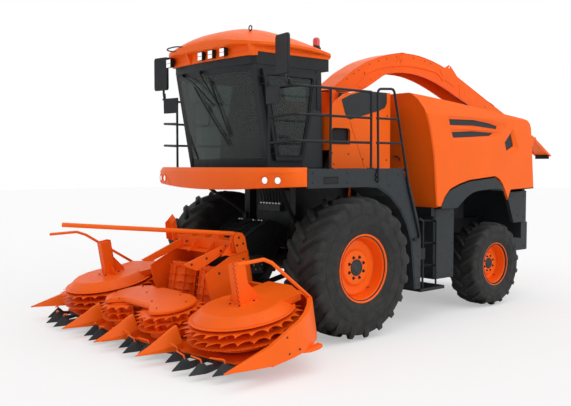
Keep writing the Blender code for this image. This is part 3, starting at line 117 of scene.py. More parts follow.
def finish(name, looks):
    # A coat with colour drift, patches of dust near the ground, grain in the gloss and a fine relief
    material = bpy.data.materials.new(name)
    material.use_nodes = True
    tree = material.node_tree
    shader = tree.nodes["Principled BSDF"]
    base = linear(looks["colour"])
    drift = looks["drift"]
    wide = grain(tree, looks.get("driftScale", noiseScale["drift"]), 3)
    low = [c * (1 - drift) for c in base[:3]]
    high = [min(1, c * (1 + drift)) for c in base[:3]]
    colour = ramp(tree, wide, [(0.3, low), (0.7, high)])
    if looks.get("dust"):
        coords = addNode(tree, "ShaderNodeTexCoord")
        split = addNode(tree, "ShaderNodeSeparateXYZ", links={"Vector": coords.outputs["Object"]})
        fade = {"From Min": 0.0, "From Max": looks.get("dustTop", 1.2), "To Min": 1.0, "To Max": 0.15}
        height = addNode(tree, "ShaderNodeMapRange", fade, {"Value": split.outputs["Z"]})
        patches = addNode(tree, "ShaderNodeMapRange", {"From Min": 0.42, "From Max": 0.66},
            {"Value": grain(tree, noiseScale["patches"], 5, 0.6)})
        both = addNode(tree, "ShaderNodeMath", links={0: height.outputs["Result"],
            1: patches.outputs["Result"]}, operation="MULTIPLY")
        share = addNode(tree, "ShaderNodeMath", {1: looks["dust"]}, {0: both.outputs[0]},
            operation="MULTIPLY")
        dusty = addNode(tree, "ShaderNodeMix", {7: linear(looks.get("dustColour", "#8A8074"))},
            {0: share.outputs[0], 6: colour}, data_type="RGBA")
        colour = dusty.outputs[2]
    tree.links.new(colour, shader.inputs["Base Color"])
    rough = looks["rough"]
    spread = looks.get("roughSpread", 0.06)
    gloss = addNode(tree, "ShaderNodeMapRange", {"From Min": 0.3, "From Max": 0.7, "To Min": rough - spread,
        "To Max": rough + spread}, {"Value": grain(tree, noiseScale["gloss"], 4)})
    tree.links.new(gloss.outputs["Result"], shader.inputs["Roughness"])
    shader.inputs["Specular IOR Level"].default_value = looks.get("shine", 0.5)
    shader.inputs["Metallic"].default_value = looks.get("metal", 0.0)
    shader.inputs["Coat Weight"].default_value = looks.get("coat", 0.0)
    shader.inputs["Coat Roughness"].default_value = looks.get("coatRough", 0.12)
    if looks.get("relief"):
        bump = addNode(tree, "ShaderNodeBump", {"Strength": looks["relief"],
            "Distance": looks.get("reliefDepth", 0.0004)}, {"Height": grain(tree, looks["reliefScale"], 2)})
        tree.links.new(bump.outputs["Normal"], shader.inputs["Normal"])
    if looks.get("clear"):
        shader.inputs["Transmission Weight"].default_value = looks["clear"]
        shader.inputs["IOR"].default_value = looks["index"]
    if looks.get("glow"):
        tree.links.new(colour, shader.inputs["Emission Color"])
        shader.inputs["Emission Strength"].default_value = looks["glow"]
    return material


coats = {
    # Two-layer baked enamel on pressed steel: clean, glossy, with faint orange peel every 2-3 mm
    "orangeEnamel": {"colour": "#F86611", "drift": 0.03, "rough": 0.38, "shine": 0.16, "relief": 0.10,
        "reliefScale": 380,
                     "dust": 0.03},
    # The same enamel where it wears against crop: duller, with dust in the low parts
    "orangeWorking": {"colour": "#F6620D", "drift": 0.05, "rough": 0.44, "shine": 0.16, "relief": 0.12,
        "reliefScale": 300,
                      "dust": 0.05},
    # Textured two-pack grey on deck, skirts and tanks: fine 1 mm grain takes the shine off
    "greyCoat": {"colour": "#2B3033", "shine": 0.22, "drift": 0.04, "rough": 0.5, "relief": 0.3,
        "reliefScale": 900, "dust": 0.07},
    # Powder coat on frames and rails, darker, half matt
    "blackCoat": {"colour": "#1A1E21", "shine": 0.22, "drift": 0.06, "rough": 0.48, "relief": 0.25,
        "reliefScale": 700, "dust": 0.06},
    # Mould-cured rubber: matt, with flow marks and grey dust caught low on the tyre
    "mouldedRubber": {"colour": "#1C1D1D", "drift": 0.10, "driftScale": 5, "rough": 0.72, "shine": 0.35,
        "relief": 0.35, "reliefScale": 160,
                      "reliefDepth": 0.0008, "dust": 0.09, "dustTop": 1.6, "dustColour": "#6E6A64"},
    # Sand-cast axle and gear housings under chassis paint: lumpy skin of 3-5 mm
    "castBlack": {"colour": "#1F2224", "drift": 0.12, "rough": 0.6, "relief": 0.6, "reliefScale": 220,
        "reliefDepth": 0.001, "dust": 0.25},
    # Zinc-plated fasteners: dull bright metal
    "zincSteel": {"colour": "#B9BCBE", "metal": 1.0, "rough": 0.38, "drift": 0.08, "driftScale": 40},
    # Blackened fasteners
    "blackSteel": {"colour": "#26282A", "metal": 0.6, "rough": 0.45, "drift": 0.10, "driftScale": 40},
    # Hard-chromed cylinder rod: mirror bright, fine grinding haze
    "chromeRod": {"colour": "#D9DCDE", "metal": 1.0, "rough": 0.14, "roughSpread": 0.03, "drift": 0.02},
    # Hardened knife steel, bright from the crop
    "knifeSteel": {"colour": "#8D9092", "metal": 0.9, "rough": 0.34, "drift": 0.15, "driftScale": 20},
    # Extruded rubber hose with a satin skin
    "hoseRubber": {"colour": "#151616", "rough": 0.6, "shine": 0.3, "relief": 0.3, "reliefScale": 500,
        "drift": 0.08},
    # Woven black seat cloth: thread relief about 1.5 mm
    "seatCloth": {"colour": "#2A2C2F", "rough": 0.92, "drift": 0.12, "driftScale": 30, "relief": 0.8,
        "reliefScale": 650, "reliefDepth": 0.0012},
    # Hard injection-moulded trim inside the cab
    "cabTrim": {"colour": "#33373A", "rough": 0.6, "relief": 0.4, "reliefScale": 1100, "drift": 0.05},
    # Back-lit clear lamp glass: reads as white
    "lampGlass": {"colour": "#F2F4F4", "rough": 0.12, "drift": 0.0, "glow": 0.35},
    # Moulded red lens of the beacon and tail lamps
    "redLens": {"colour": "#C4301C", "rough": 0.15, "coat": 0.6, "drift": 0.05, "glow": 0.15},
    "amberLens": {"colour": "#E58A1E", "rough": 0.15, "coat": 0.6, "drift": 0.05, "glow": 0.15},
    # Mirror glass with its tint
    "mirrorGlass": {"colour": "#9AA3A6", "metal": 1.0, "rough": 0.05, "roughSpread": 0.01, "drift": 0.02},
    # Tempered tinted glass: grey-green body colour, seen through, with a sharp coat of reflection
    "tintedGlass": {"colour": "#717C78", "rough": 0.03, "roughSpread": 0.01, "drift": 0.01, "clear": 0.87,
        "index": 1.02, "coat": 0.35,
                    "coatRough": 0.02},
}
paint = {name: finish(name, looks) for name, looks in coats.items()}


def meshCoat(name, colour, holeShade, pitch):
    # Punched or woven mesh drawn by its own coordinates: pitch in metres, with painted shade in the holes,
    # darker than the wire
    material = paint["blackCoat"].copy()
    material.name = name
    tree = material.node_tree
    shader = tree.nodes["Principled BSDF"]
    coords = addNode(tree, "ShaderNodeTexCoord")
    mapping = addNode(tree, "ShaderNodeMapping", {"Scale": (1 / pitch, 1 / pitch, 1 / pitch)},
        {"Vector": coords.outputs["Object"]})
    cells = addNode(tree, "ShaderNodeTexVoronoi", {"Scale": 1.0, "Randomness": 0.0},
        {"Vector": mapping.outputs["Vector"]})
    # The hole colour is painted shade of the dark space behind the mesh
    colourOut = ramp(tree, cells.outputs["Distance"], [(0.28, linear(holeShade)), (0.42, linear(colour))])
    tree.links.new(colourOut, shader.inputs["Base Color"])
    return material


# The darker colour of each mesh is painted shade in its holes
paint["grilleMesh"] = meshCoat("grilleMesh", "#2A2E30", "#0A0B0B", 0.018)
paint["treadPlate"] = meshCoat("treadPlate", "#4C5154", "#2A2D2F", 0.030)
print("materials ready")


# Shapes are (points, faces) pairs of plain lists
def together(*shapes):
    points, faces = [], []
    for somePoints, someFaces in shapes:
        start = len(points)
        points += somePoints
        faces += [[start + i for i in face] for face in someFaces]
    return points, faces


def placed(shape, matrix):
    return [tuple(matrix @ Vector(p)) for p in shape[0]], shape[1]


def shifted(shape, x=0.0, y=0.0, z=0.0):
    return [(a + x, b + y, c + z) for a, b, c in shape[0]], shape[1]


def mirrored(shape):
    return [(-a, b, c) for a, b, c in shape[0]], [list(reversed(face)) for face in shape[1]]


def bothSides(*shapes):
    whole = together(*shapes)
    return together(whole, mirrored(whole))


def loft(rings, loop=False):
    count = len(rings[0])
    points = [tuple(p) for ring in rings for p in ring]
    faces = []
    last = len(rings) if loop else len(rings) - 1
    for k in range(last):
        a, b = k * count, ((k + 1) % len(rings)) * count
        faces += [[a + i, a + (i + 1) % count, b + (i + 1) % count, b + i] for i in range(count)]
    if not loop:
        faces += [list(range(count))[::-1], list(range((len(rings) - 1) * count, len(rings) * count))]
    return points, faces


order = {"x": lambda a, b, c: (c, a, b), "y": lambda a, b, c: (a, c, b), "z": lambda a, b, c: (a, b, c)}


def slab(outline, axis, low, high):
    return loft([[order[axis](a, b, c) for a, b in outline] for c in (low, high)])


def block(xs, ys, zs):
    return slab([(xs[0], ys[0]), (xs[1], ys[0]), (xs[1], ys[1]), (xs[0], ys[1])], "z", *zs)


def spun(profile, axis="z", centre=(0, 0, 0), sides=48, closed=False, start=0.0):
    # (radius, height) pairs turned about the axis; not closed means that both ends are capped
    turn = {"x": lambda a, b, c: (c, a, b), "y": lambda a, b, c: (b, c, a), "z": lambda a, b,
        c: (a, b, c)}[axis]
    rings = []
    for i in range(sides):
        angle = start + 2 * math.pi * i / sides
        rings.append([tuple(Vector(turn(r * math.cos(angle), r * math.sin(angle), h)) + Vector(centre)) for r,
            h in profile])
    count = len(profile)
    points = [p for ring in rings for p in ring]
    faces = []
    for k in range(sides):
        a, b = k * count, ((k + 1) % sides) * count
        faces += [[a + i, a + i + 1, b + i + 1, b + i] for i in range(count - 1)]
        if closed:
            faces.append([a + count - 1, a, b, b + count - 1])
    if not closed:
        faces += [[k * count for k in range(sides)][::-1], [k * count + count - 1 for k in range(sides)]]
    return points, faces


def disc(radius, low, high, axis="z", centre=(0, 0, 0), sides=32, edge=0.0):
    if edge:
        profile = [(radius - edge, low), (radius, low + edge), (radius, high - edge), (radius - edge, high)]
    else:
        profile = [(radius, low), (radius, high)]
    return spun(profile, axis, centre, sides)


def curved(points, radius):
    # Rounds each corner of a path, by no more than about half of its shorter side
    steps = 6
    path = [Vector(p) for p in points]
    found = [path[0]]
    for before, corner, after in zip(path, path[1:], path[2:]):
        back, on = (before - corner).normalized(), (after - corner).normalized()
        half = max(0.05, back.angle(on) / 2)
        reach = min(radius / math.tan(half), 0.48 * (before - corner).length, 0.48 * (after - corner).length)
        start, end = corner + back * reach, corner + on * reach
        found += [start * (1 - t) ** 2 + corner * 2 * t * (1 - t) + end * t ** 2
            for t in [i / steps for i in range(steps + 1)]]
    return found + [path[-1]]


def spline(points, steps=6):
    # A smooth curve through all points
    path = [Vector(p) for p in points]
    path = [2 * path[0] - path[1], *path, 2 * path[-1] - path[-2]]
    found = []
    for a, b, c, d in zip(path, path[1:], path[2:], path[3:]):
        for i in range(steps):
            t = i / steps
            found.append(0.5 * (2 * b + (c - a) * t + (2 * a - 5 * b + 4 * c - d) * t * t
                + (3 * b - a - 3 * c + d) * t ** 3))
    return found + [path[-2]]


def swept(points, section):
    # Carries (side, up) pairs along the points, square to the path and free of twist
    path = [Vector(p) for p in points]
    run = (path[1] - path[0]).normalized()
    side = run.cross(Vector((0, 0, 1)))
    if side.length < 0.15:
        side = Vector((1, 0, 0))
    side = (side - run * side.dot(run)).normalized()
    rings = []
    for k, point in enumerate(path):
        before = (point - path[k - 1]).normalized() if k else run
        after = (path[k + 1] - point).normalized() if k + 1 < len(path) else before
        along = (before + after).normalized()
        side = (side - along * side.dot(along)).normalized()
        up = side.cross(along)
        stretch = 1 / max(0.5, before.dot(along))
        flat = after - before
        flat = flat.normalized() if flat.length > 1e-4 else up
        ring = []
        for a, b in section:
            offset = side * a + up * b
            ring.append(point + offset + flat * offset.dot(flat) * (stretch - 1))
        rings.append(ring)
    return loft(rings)


def strip(half, thick):
    return [(-half, -thick), (half, -thick), (half, thick), (-half, thick)]


def turns(count, offset=0):
    return [2 * math.pi * (i + offset) / count for i in range(count)]


def ringOf(a, b, radius, sides=16):
    return [(a + radius * math.cos(turn), b + radius * math.sin(turn)) for turn in turns(sides)]


def turned(at, degrees, axis):
    return Matrix.Translation(at) @ Matrix.Rotation(math.radians(degrees), 4, axis)


def tube(points, radius, bend=0.0, sides=12):
    return swept(curved(points, bend) if bend else points, ringOf(0, 0, radius, sides))


def facing(direction, at=(0, 0, 0)):
    # The matrix that stands +Z along this direction
    return Matrix.Translation(at) @ Vector(direction).to_track_quat("Z", "Y").to_matrix().to_4x4()


def bolt(at, direction, size=0.010):
    # Hexagon head on its washer
    head = spun([(size * 0.86, 0.2 * size), (size * 0.98, 0.3 * size), (size * 0.98, 0.8 * size),
        (size * 0.8, 0.95 * size)], sides=6)
    washer = disc(size * 1.3, 0.0, 0.22 * size, sides=14)
    return placed(together(head, washer), facing(direction, at))


def bolts(places, direction, size=0.010):
    return together(*[bolt(at, direction, size) for at in places])


def pierced(outline, holes, axis, low, high):
    # A plate with through holes
    loops = [outline, *holes]
    triangles = tessellate_polygon([[Vector((a, b, 0)) for a, b in loop] for loop in loops])
    flat = [pair for loop in loops for pair in loop]
    count = len(flat)
    points = [order[axis](a, b, c) for c in (low, high) for a, b in flat]
    faces = [list(t) for t in triangles] + [[i + count for i in reversed(t)] for t in triangles]
    start = 0
    for loop in loops:
        for i in range(len(loop)):
            j = (i + 1) % len(loop)
            faces.append([start + i, start + j, count + start + j, count + start + i])
        start += len(loop)
    return points, faces


def stepped(outline, depth, holes):
    # Slanting walls from an outline at x = 0 to holes at their own depths, seen from +X; True closes one
    loops = [([(0.0, a, b) for a, b in outline], False)] + [([(-deep, a, b) for a, b in loop], shut) for loop,
        deep, shut in holes]
    triangles = tessellate_polygon([[Vector((p[1], p[2], 0)) for p in loop] for loop, shut in loops])
    points = [p for loop, shut in loops for p in loop]
    faces = [list(t) for t in triangles]
    start = 0
    for loop, shut in loops:
        if shut:
            faces.append(list(range(start, start + len(loop))))
        start += len(loop)
    return [(x + depth, y, z) for x, y, z in points], faces


def addPiece(name, shape, material, body="machine", place=machinePlace, bevel=0.0, replaces=(),
        angle=35):
    points, faces = shape
    mesh = bpy.data.meshes.new(name)
    mesh.from_pydata(points, [], faces)
    bm = bmesh.new()
    bm.from_mesh(mesh)
    bmesh.ops.recalc_face_normals(bm, faces=bm.faces)
    bm.to_mesh(mesh)
    bm.free()
    mesh.shade_smooth()
    mesh.set_sharp_from_angle(angle=math.radians(angle))
    obj = bpy.data.objects.new(name, mesh)
    bpy.context.scene.collection.objects.link(obj)
    mesh.materials.append(paint[material])
    obj.matrix_world = place
    if bevel:
        modifier = obj.modifiers.new("edges", "BEVEL")
        modifier.width = bevel
        modifier.segments = 2
        modifier.limit_method = "ANGLE"
        modifier.angle_limit = math.radians(32)
        modifier.harden_normals = False
    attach(obj, body)
    if replaces:
        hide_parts(*replaces)
    return obj


def addPair(name, shape, material, bodies="machine", place=machinePlace, bevel=0.0, replaces=None,
        angle=35):
    # One piece for each side; shape is the left one
    for side, hand in ((0, "l"), (1, "r")):
        body = bodies if isinstance(bodies, str) else bodies[side]
        own = [node + "_" + hand for node in replaces] if replaces else ()
        addPiece(name + hand.upper(), shape if side == 0 else mirrored(shape), material, body, place, bevel,
            own, angle)


# CAD nodes that no piece replaces keep their mesh and take a better coat
keptNodes = {"greyCoat": ["platform", "crop_lifters"], "blackCoat": ["main_frame", "cab_frame", "cab_door",
    "chopper_housing", "feeder_housing", "lift_barrel_l", "lift_barrel_r"],
    "castBlack": ["front_axle", "rear_axle", "knuckle_l", "knuckle_r", "engine_block"],
    "tintedGlass": ["windscreen", "side_glass", "rear_glass", "door_glass"],
    "chromeRod": ["lift_rod_l", "lift_rod_r"],}
for coat, names in keptNodes.items():
    for name in names:
        for held in frame["nodes"][name].material_slots:
            held.material = paint[coat]
print("kept nodes coated")


# Stage: pale floor, white backdrop, soft light
def addStage():
    # The floor is the studio's, and not part of the object
    floor = {"half": 60, "colour": "#F6F6F6", "wash": 0.4}
    mesh = bpy.data.meshes.new("studioFloor")
    h = floor["half"]
    mesh.from_pydata([(-h, -h, 0), (h, -h, 0), (h, h, 0), (-h, h, 0)], [], [[0, 1, 2, 3]])
    obj = bpy.data.objects.new("studioFloor", mesh)
    bpy.context.scene.collection.objects.link(obj)
    cover = finish("floorPaint", {"colour": floor["colour"], "drift": 0.004, "rough": 0.9,
        "roughSpread": 0.02, "shine": 0.1})
    # To the camera the floor is half lit card and half white, so that it runs into the backdrop
    tree = cover.node_tree
    seen = addNode(tree, "ShaderNodeLightPath").outputs["Is Camera Ray"]
    half = addNode(tree, "ShaderNodeMath", {1: floor["wash"]}, {0: seen}, operation="MULTIPLY")
    white = addNode(tree, "ShaderNodeEmission", {"Color": (1, 1, 1, 1), "Strength": 1.0})
    mixed = addNode(tree, "ShaderNodeMixShader",
        links={0: half.outputs[0], 1: tree.nodes["Principled BSDF"].outputs[0], 2: white.outputs[0]})
    tree.links.new(mixed.outputs[0], tree.nodes["Material Output"].inputs["Surface"])
    mesh.materials.append(cover)
    world = bpy.data.worlds.new("studio")
    bpy.context.scene.world = world
    world.use_nodes = True
    tree = world.node_tree
    tree.nodes.clear()
    path = addNode(tree, "ShaderNodeLightPath")
    seen = path.outputs["Is Camera Ray"]
    for key in ("Is Glossy Ray", "Is Transmission Ray"):
        most = addNode(tree, "ShaderNodeMath", links={0: seen, 1: path.outputs[key]}, operation="MAXIMUM")
        seen = most.outputs[0]
    light = addNode(tree, "ShaderNodeBackground", {"Color": (1, 1, 1, 1), "Strength": 0.62})
    white = addNode(tree, "ShaderNodeBackground", {"Color": (1, 1, 1, 1), "Strength": 1.0})
    mixed = addNode(tree, "ShaderNodeMixShader", links={0: seen, 1: light.outputs[0], 2: white.outputs[0]})
    addNode(tree, "ShaderNodeOutputWorld", links={"Surface": mixed.outputs[0]})


def addSun(name, direction, strength, angle):
    # A broad even light, as from a ceiling of soft boxes
    lamp = bpy.data.lights.new(name, "SUN")
    lamp.energy = strength
    lamp.angle = math.radians(angle)
    obj = bpy.data.objects.new(name, lamp)
    bpy.context.scene.collection.objects.link(obj)
    obj.rotation_euler = (-Vector(direction)).to_track_quat("-Z", "Y").to_euler()


def addCamera():
    # Solved from the photograph's straight edges
    shot = {"place": (8.212, -9.151, 2.247), "azimuth": 48.898, "pitch": -2.862, "lens": 47.66}
    camera = bpy.data.cameras.new("camera")
    camera.lens = shot["lens"]
    camera.sensor_width = 36
    camera.clip_end = 200
    obj = bpy.data.objects.new("camera", camera)
    bpy.context.scene.collection.objects.link(obj)
    obj.location = shot["place"]
    obj.rotation_euler = (math.radians(90 + shot["pitch"]), 0, math.radians(shot["azimuth"]))
    bpy.context.scene.camera = obj


addStage()
addSun("ceilingLight", (0.35, 0.1, 1.0), 1.15, 70)
addSun("sideLight", (1.0, 0.25, 0.35), 0.5, 40)
addCamera()
view = bpy.context.scene.view_settings
view.view_transform = "Standard"
print("stage ready")


# Wheels
frontWheel = {"x": 1.35, "y": 0.0, "radius": 0.925, "half": 0.31, "rim": 0.406, "lugs": 20, "disc": 0.139,
    "nuts": 8, "nutCircle": 0.142, "nutSize": 0.017, "hub": 0.108, "ring": 0.235}
rearWheel = {"x": 1.13, "y": 3.37, "radius": 0.67, "half": 0.25, "rim": 0.308, "lugs": 18, "disc": 0.086,
    "nuts": 8, "nutCircle": 0.122, "nutSize": 0.014, "hub": 0.088, "ring": 0.185}


def tyreShape(size):
    # Carcass section as shares of half width and of the way from rim to tread, then moulded chevron lugs
    half, top, rim = size["half"], size["radius"], size["rim"]
    section = [(0.0, 0.904), (0.32, 0.902), (0.62, 0.892), (0.80, 0.872), (0.905, 0.835), (0.955, 0.765),
        (0.985, 0.66), (1.0, 0.50), (0.995, 0.345), (0.965, 0.215), (0.915, 0.125), (0.865, 0.072),
        (0.862, 0.0)]
    outer = [(rim + r * (top - rim), x * half) for x, r in section]
    profile = [(r, -x) for r, x in reversed(outer)] + outer[1:]
    shapes = [spun(profile, "x", (0, 0, 0), 120, closed=True)]
    for r, x in ((0.30, 0.985), (0.56, 0.997)):  # moulded rings on both walls
        radius = rim + r * (top - rim)
        ring = [(radius - 0.006, x * half - 0.008), (radius - 0.003, x * half + 0.002),
            (radius + 0.003, x * half + 0.002), (radius + 0.006, x * half - 0.008)]
        shapes += [spun(ring, "x", (0, 0, 0), 96, closed=True), spun([(a, -b) for a, b in ring], "x",
            (0, 0, 0), 96, closed=True)]
    # share of half width, top radius and foot radius below the tip, width at the top and at the foot
    stations = [(-0.03, 0.016, 0.066, 0.030, 0.075), (0.03, 0.001, 0.062, 0.046, 0.088),
        (0.30, 0.0, 0.060, 0.048, 0.090), (0.60, 0.006, 0.066, 0.052, 0.096),
        (0.82, 0.020, 0.085, 0.058, 0.106), (0.93, 0.042, 0.118, 0.062, 0.112),
        (0.985, 0.085, 0.165, 0.060, 0.108), (1.003, 0.130, 0.205, 0.052, 0.096)]
    scale = top / frontWheel["radius"]
    for side in (1, -1):
        for k in range(size["lugs"]):
            base = 2 * math.pi * (k + (0.5 if side < 0 else 0.0)) / size["lugs"]
            rings = []
            for share, down, foot, wide, footWide in stations:
                sweep = 0.33 * max(0, share) - 0.05 * max(0, share) ** 2
                x = side * share * half
                ring = []
                for r, w in ((foot, -footWide), (down + 0.004, -wide), (down, -wide + 0.012),
                        (down, wide - 0.012), (down + 0.004, wide), (foot, footWide)):
                    radius = top - r * scale
                    angle = base + sweep + w * 0.5 * scale * 1.28 / top
                    ring.append((x, -radius * math.cos(angle), radius * math.sin(angle)))
                rings.append(ring)
            shapes.append(loft(rings))
    return together(*shapes)


def rimShape(size):
    # Rolled flanges, well, dished disc with its raised ring, in the wheel's own place
    rim, depth, ring, hub = size["rim"], size["disc"], size["ring"], size["hub"]
    bead = size["half"] - 0.045
    inner = rim - 0.012
    flange = [(rim - 0.004, bead - 0.008), (rim + 0.030, bead - 0.001), (rim + 0.037, bead + 0.004),
        (rim + 0.038, bead + 0.011), (rim + 0.033, bead + 0.015), (rim + 0.022, bead + 0.014),
        (rim + 0.006, bead - 0.004), (inner, bead - 0.026)]
    barrel = list(flange)
    barrel += [(inner, depth - 0.02), (inner - 0.02, depth - 0.06), (inner - 0.02, -bead * 0.55),
        (inner, -bead + 0.026)]
    barrel += [(r, -x) for r, x in reversed(flange[:-1])]
    barrel += [(rim - 0.004, -bead + 0.03), (rim - 0.014, -bead * 0.55), (rim - 0.014, depth - 0.06),
        (rim - 0.004, depth - 0.02)]
    face = [(hub - 0.01, depth + 0.004), (ring - 0.035, depth + 0.004), (ring - 0.022, depth + 0.001),
        (ring - 0.006, depth - 0.012), (ring + 0.006, depth - 0.030), (ring + 0.022, depth - 0.036),
        (inner - 0.075, depth - 0.026), (inner - 0.050, depth - 0.024), (inner - 0.030, depth - 0.034),
        (inner - 0.016, depth - 0.058), (inner - 0.016, depth - 0.075), (inner - 0.05, depth - 0.045),
        (ring + 0.02, depth - 0.050), (ring - 0.01, depth - 0.030), (hub - 0.01, depth - 0.012)]
    weld = [(inner - 0.022, depth - 0.050), (inner - 0.012, depth - 0.040), (inner - 0.002, depth - 0.046),
        (inner - 0.008, depth - 0.060)]
    slot = []
    for turn in (-62, 118):
        a = math.radians(turn)
        r = inner - 0.055
        slot.append(placed(disc(0.020, -0.004, 0.004, sides=20, edge=0.002),
            Matrix.Translation((depth - 0.024, r * math.cos(a),
            r * math.sin(a))) @ Matrix.Rotation(math.pi / 2, 4, "Y")))
    return together(spun(barrel, "x", sides=96, closed=True), spun(face, "x", sides=96, closed=True),
        spun(weld, "x", sides=72, closed=True), *slot)


def hubShape(size):
    depth, hub = size["disc"], size["hub"]
    cap = [(0.03, depth + 0.020), (hub * 0.55, depth + 0.021), (hub * 0.62, depth + 0.016),
        (hub - 0.012, depth + 0.016), (hub - 0.004, depth + 0.012), (hub, depth + 0.004), (hub, depth - 0.02)]
    return spun([(0.001, depth + 0.02)] + cap + [(0.001, depth - 0.02)], "x", sides=48)


def nutShape(size):
    shapes = []
    for k in range(size["nuts"]):
        a = 2 * math.pi * (k + 0.5) / size["nuts"]
        at = (size["disc"] + 0.003, size["nutCircle"] * math.cos(a), size["nutCircle"] * math.sin(a))
        shapes += [bolt(at, (1, 0, 0), size["nutSize"]), placed(disc(size["nutSize"] * 0.45, 0,
            size["nutSize"] * 1.7, sides=12, edge=0.002), facing((1, 0, 0), at))]
    a = math.radians(-50)
    r = size["rim"] - 0.035
    ends = [(size["disc"] - 0.03, r), (size["disc"] + 0.02, r - 0.012)]
    valve = tube([(x, away * math.cos(a), away * math.sin(a)) for x, away in ends], 0.005, sides=10)
    return together(*shapes, valve)


def addWheels():
    for tag, size in (("front", frontWheel), ("rear", rearWheel)):
        bodies = ("wheel_%s_l" % tag, "wheel_%s_r" % tag)
        title = tag.capitalize()
        parts = (("tyre" + title, tyreShape(size), "mouldedRubber", ("tyre_" + tag,), "tyre_rubber"),
            ("rim" + title, rimShape(size), "orangeEnamel", ("rim_" + tag,), "paint_orange"),
            ("hub" + title, hubShape(size), "greyCoat", None, "paint_grey"), ("nuts" + title, nutShape(size),
            "blackSteel", None, "frame_black"))
        for name, shape, material, nodes, slot in parts:
            for side, hand in ((1, "l"), (-1, "r")):
                own = shape if side > 0 else mirrored(shape)
                place = machinePlace @ Matrix.Translation((side * size["x"], size["y"], size["radius"]))
                addPiece(name + hand.upper(), own, material, bodies[side < 0], place,
                    replaces=[n + "_" + hand for n in nodes] if nodes else (), angle=40
                    if "tyre" in name else 30)


addWheels()
print("wheels ready")


# Row-independent header, in its own leaning frame: y backwards, z up from the floor's underside
header = {"half": 2.355, "rotorX": 1.55, "wrap": 0.805, "innerX": 0.45, "innerY": -0.26,
    "floorEdge": [(2.05, -0.46), (1.05, -0.56), (0.75, -0.62), (0.0, -0.62)], "coverZ": 0.37, "rise": 0.11,
    "wall": 0.42}
outerDisc = {"tip": 0.69, "valley": 0.605, "teeth": 24, "thick": 0.007, "droop": 0.016, "core": 0.40,
    "levels": (0.340, 0.252), "knife": 0.175, "knifeTip": 0.655, "knifeTeeth": 84}
innerDisc = {"tip": 0.43, "valley": 0.352, "teeth": 18, "thick": 0.007, "droop": 0.014, "core": 0.28,
    "levels": (0.345, 0.262), "knife": 0.180, "knifeTip": 0.415, "knifeTeeth": 60}
drumDisc = {"x": 0.34, "y": 0.43, "z": 0.12, "lean": -18, "levels": (0.06, 0.16, 0.26, 0.36, 0.46),
    "tip": 0.247, "valley": 0.205, "teeth": 9, "thick": 0.008, "droop": -0.02, "bore": 0.18}


rotors = (("outer", outerDisc, header["rotorX"], 0.0), ("inner", innerDisc, header["innerX"],
    header["innerY"]))


def toothedRing(tip, valley, teeth, high, thick, droop, bore, hand=1, turn=0.0, fine=False):
    # Shark-fin teeth: a steep leading edge, then a hollow back. Fine knife teeth are plain saw teeth
    steps = ((0.0, 1.0), (0.5, 0.5), (0.93, 0.0)) if fine else ((0.0, 1.0), (0.05, 0.66), (0.11, 0.30),
        (0.20, 0.07), (0.34, 0.0), (0.52, 0.05), (0.70, 0.24), (0.86, 0.56), (0.95, 0.82))
    rim = []
    for k in range(teeth):
        for share, height in steps:
            rim.append((turn - hand * 2 * math.pi * (k + share) / teeth, valley + (tip - valley) * height))
    middle = valley - 0.02
    rings = []
    for edge, drop in (("bore", 0.0), ("middle", 0.0), ("rim", 0.0), ("rim", thick), ("middle", thick),
            ("bore", thick)):
        ring = []
        for angle, r in rim:
            radius = {"bore": bore, "middle": middle, "rim": r}[edge]
            lower = droop * max(0.0, r - middle) / max(0.001, tip - middle) if edge == "rim" else 0.0
            ring.append((radius * math.cos(angle), radius * math.sin(angle), high - drop - lower))
        rings.append(ring)
    return loft(rings, loop=True)


def rotorShape(size, hand):
    tip, core = size["tip"], size["core"]
    shapes = []
    for k, level in enumerate(size["levels"]):
        shapes.append(toothedRing(tip - 0.001, size["valley"], size["teeth"], level, size["thick"],
            size["droop"], core - 0.02, hand, 0.35 * k / size["teeth"]))
    profile = [(0.066, 0.045), (core - 0.03, 0.045), (core, 0.055), (core, 0.13), (core + 0.02, 0.15),
        (core + 0.02, 0.16), (core - 0.01, 0.175), (core - 0.01, 0.36), (core - 0.06, 0.363), (0.066, 0.363)]
    shapes.append(spun(profile, "z", sides=64, closed=True))
    for k in range(12):  # ribs between the discs
        a = 2 * math.pi * k / 12
        rib = block((core - 0.02, core + 0.10), (-0.004, 0.004), (0.18, size["levels"][0] - 0.01))
        shapes.append(placed(rib, Matrix.Rotation(a, 4, "Z")))
    for k in range(8):
        a = 2 * math.pi * (k + 0.5) / 8
        shapes.append(bolt(((core + 0.06) * math.cos(a), (core + 0.06) * math.sin(a), size["levels"][0]),
            (0, 0, 1), 0.010))
    return together(*shapes)


def knifeShape(size, hand):
    return toothedRing(size["knifeTip"], size["knifeTip"] - 0.020, size["knifeTeeth"], size["knife"], 0.005,
        0.0, size["core"] - 0.005, hand, 0.0, True)


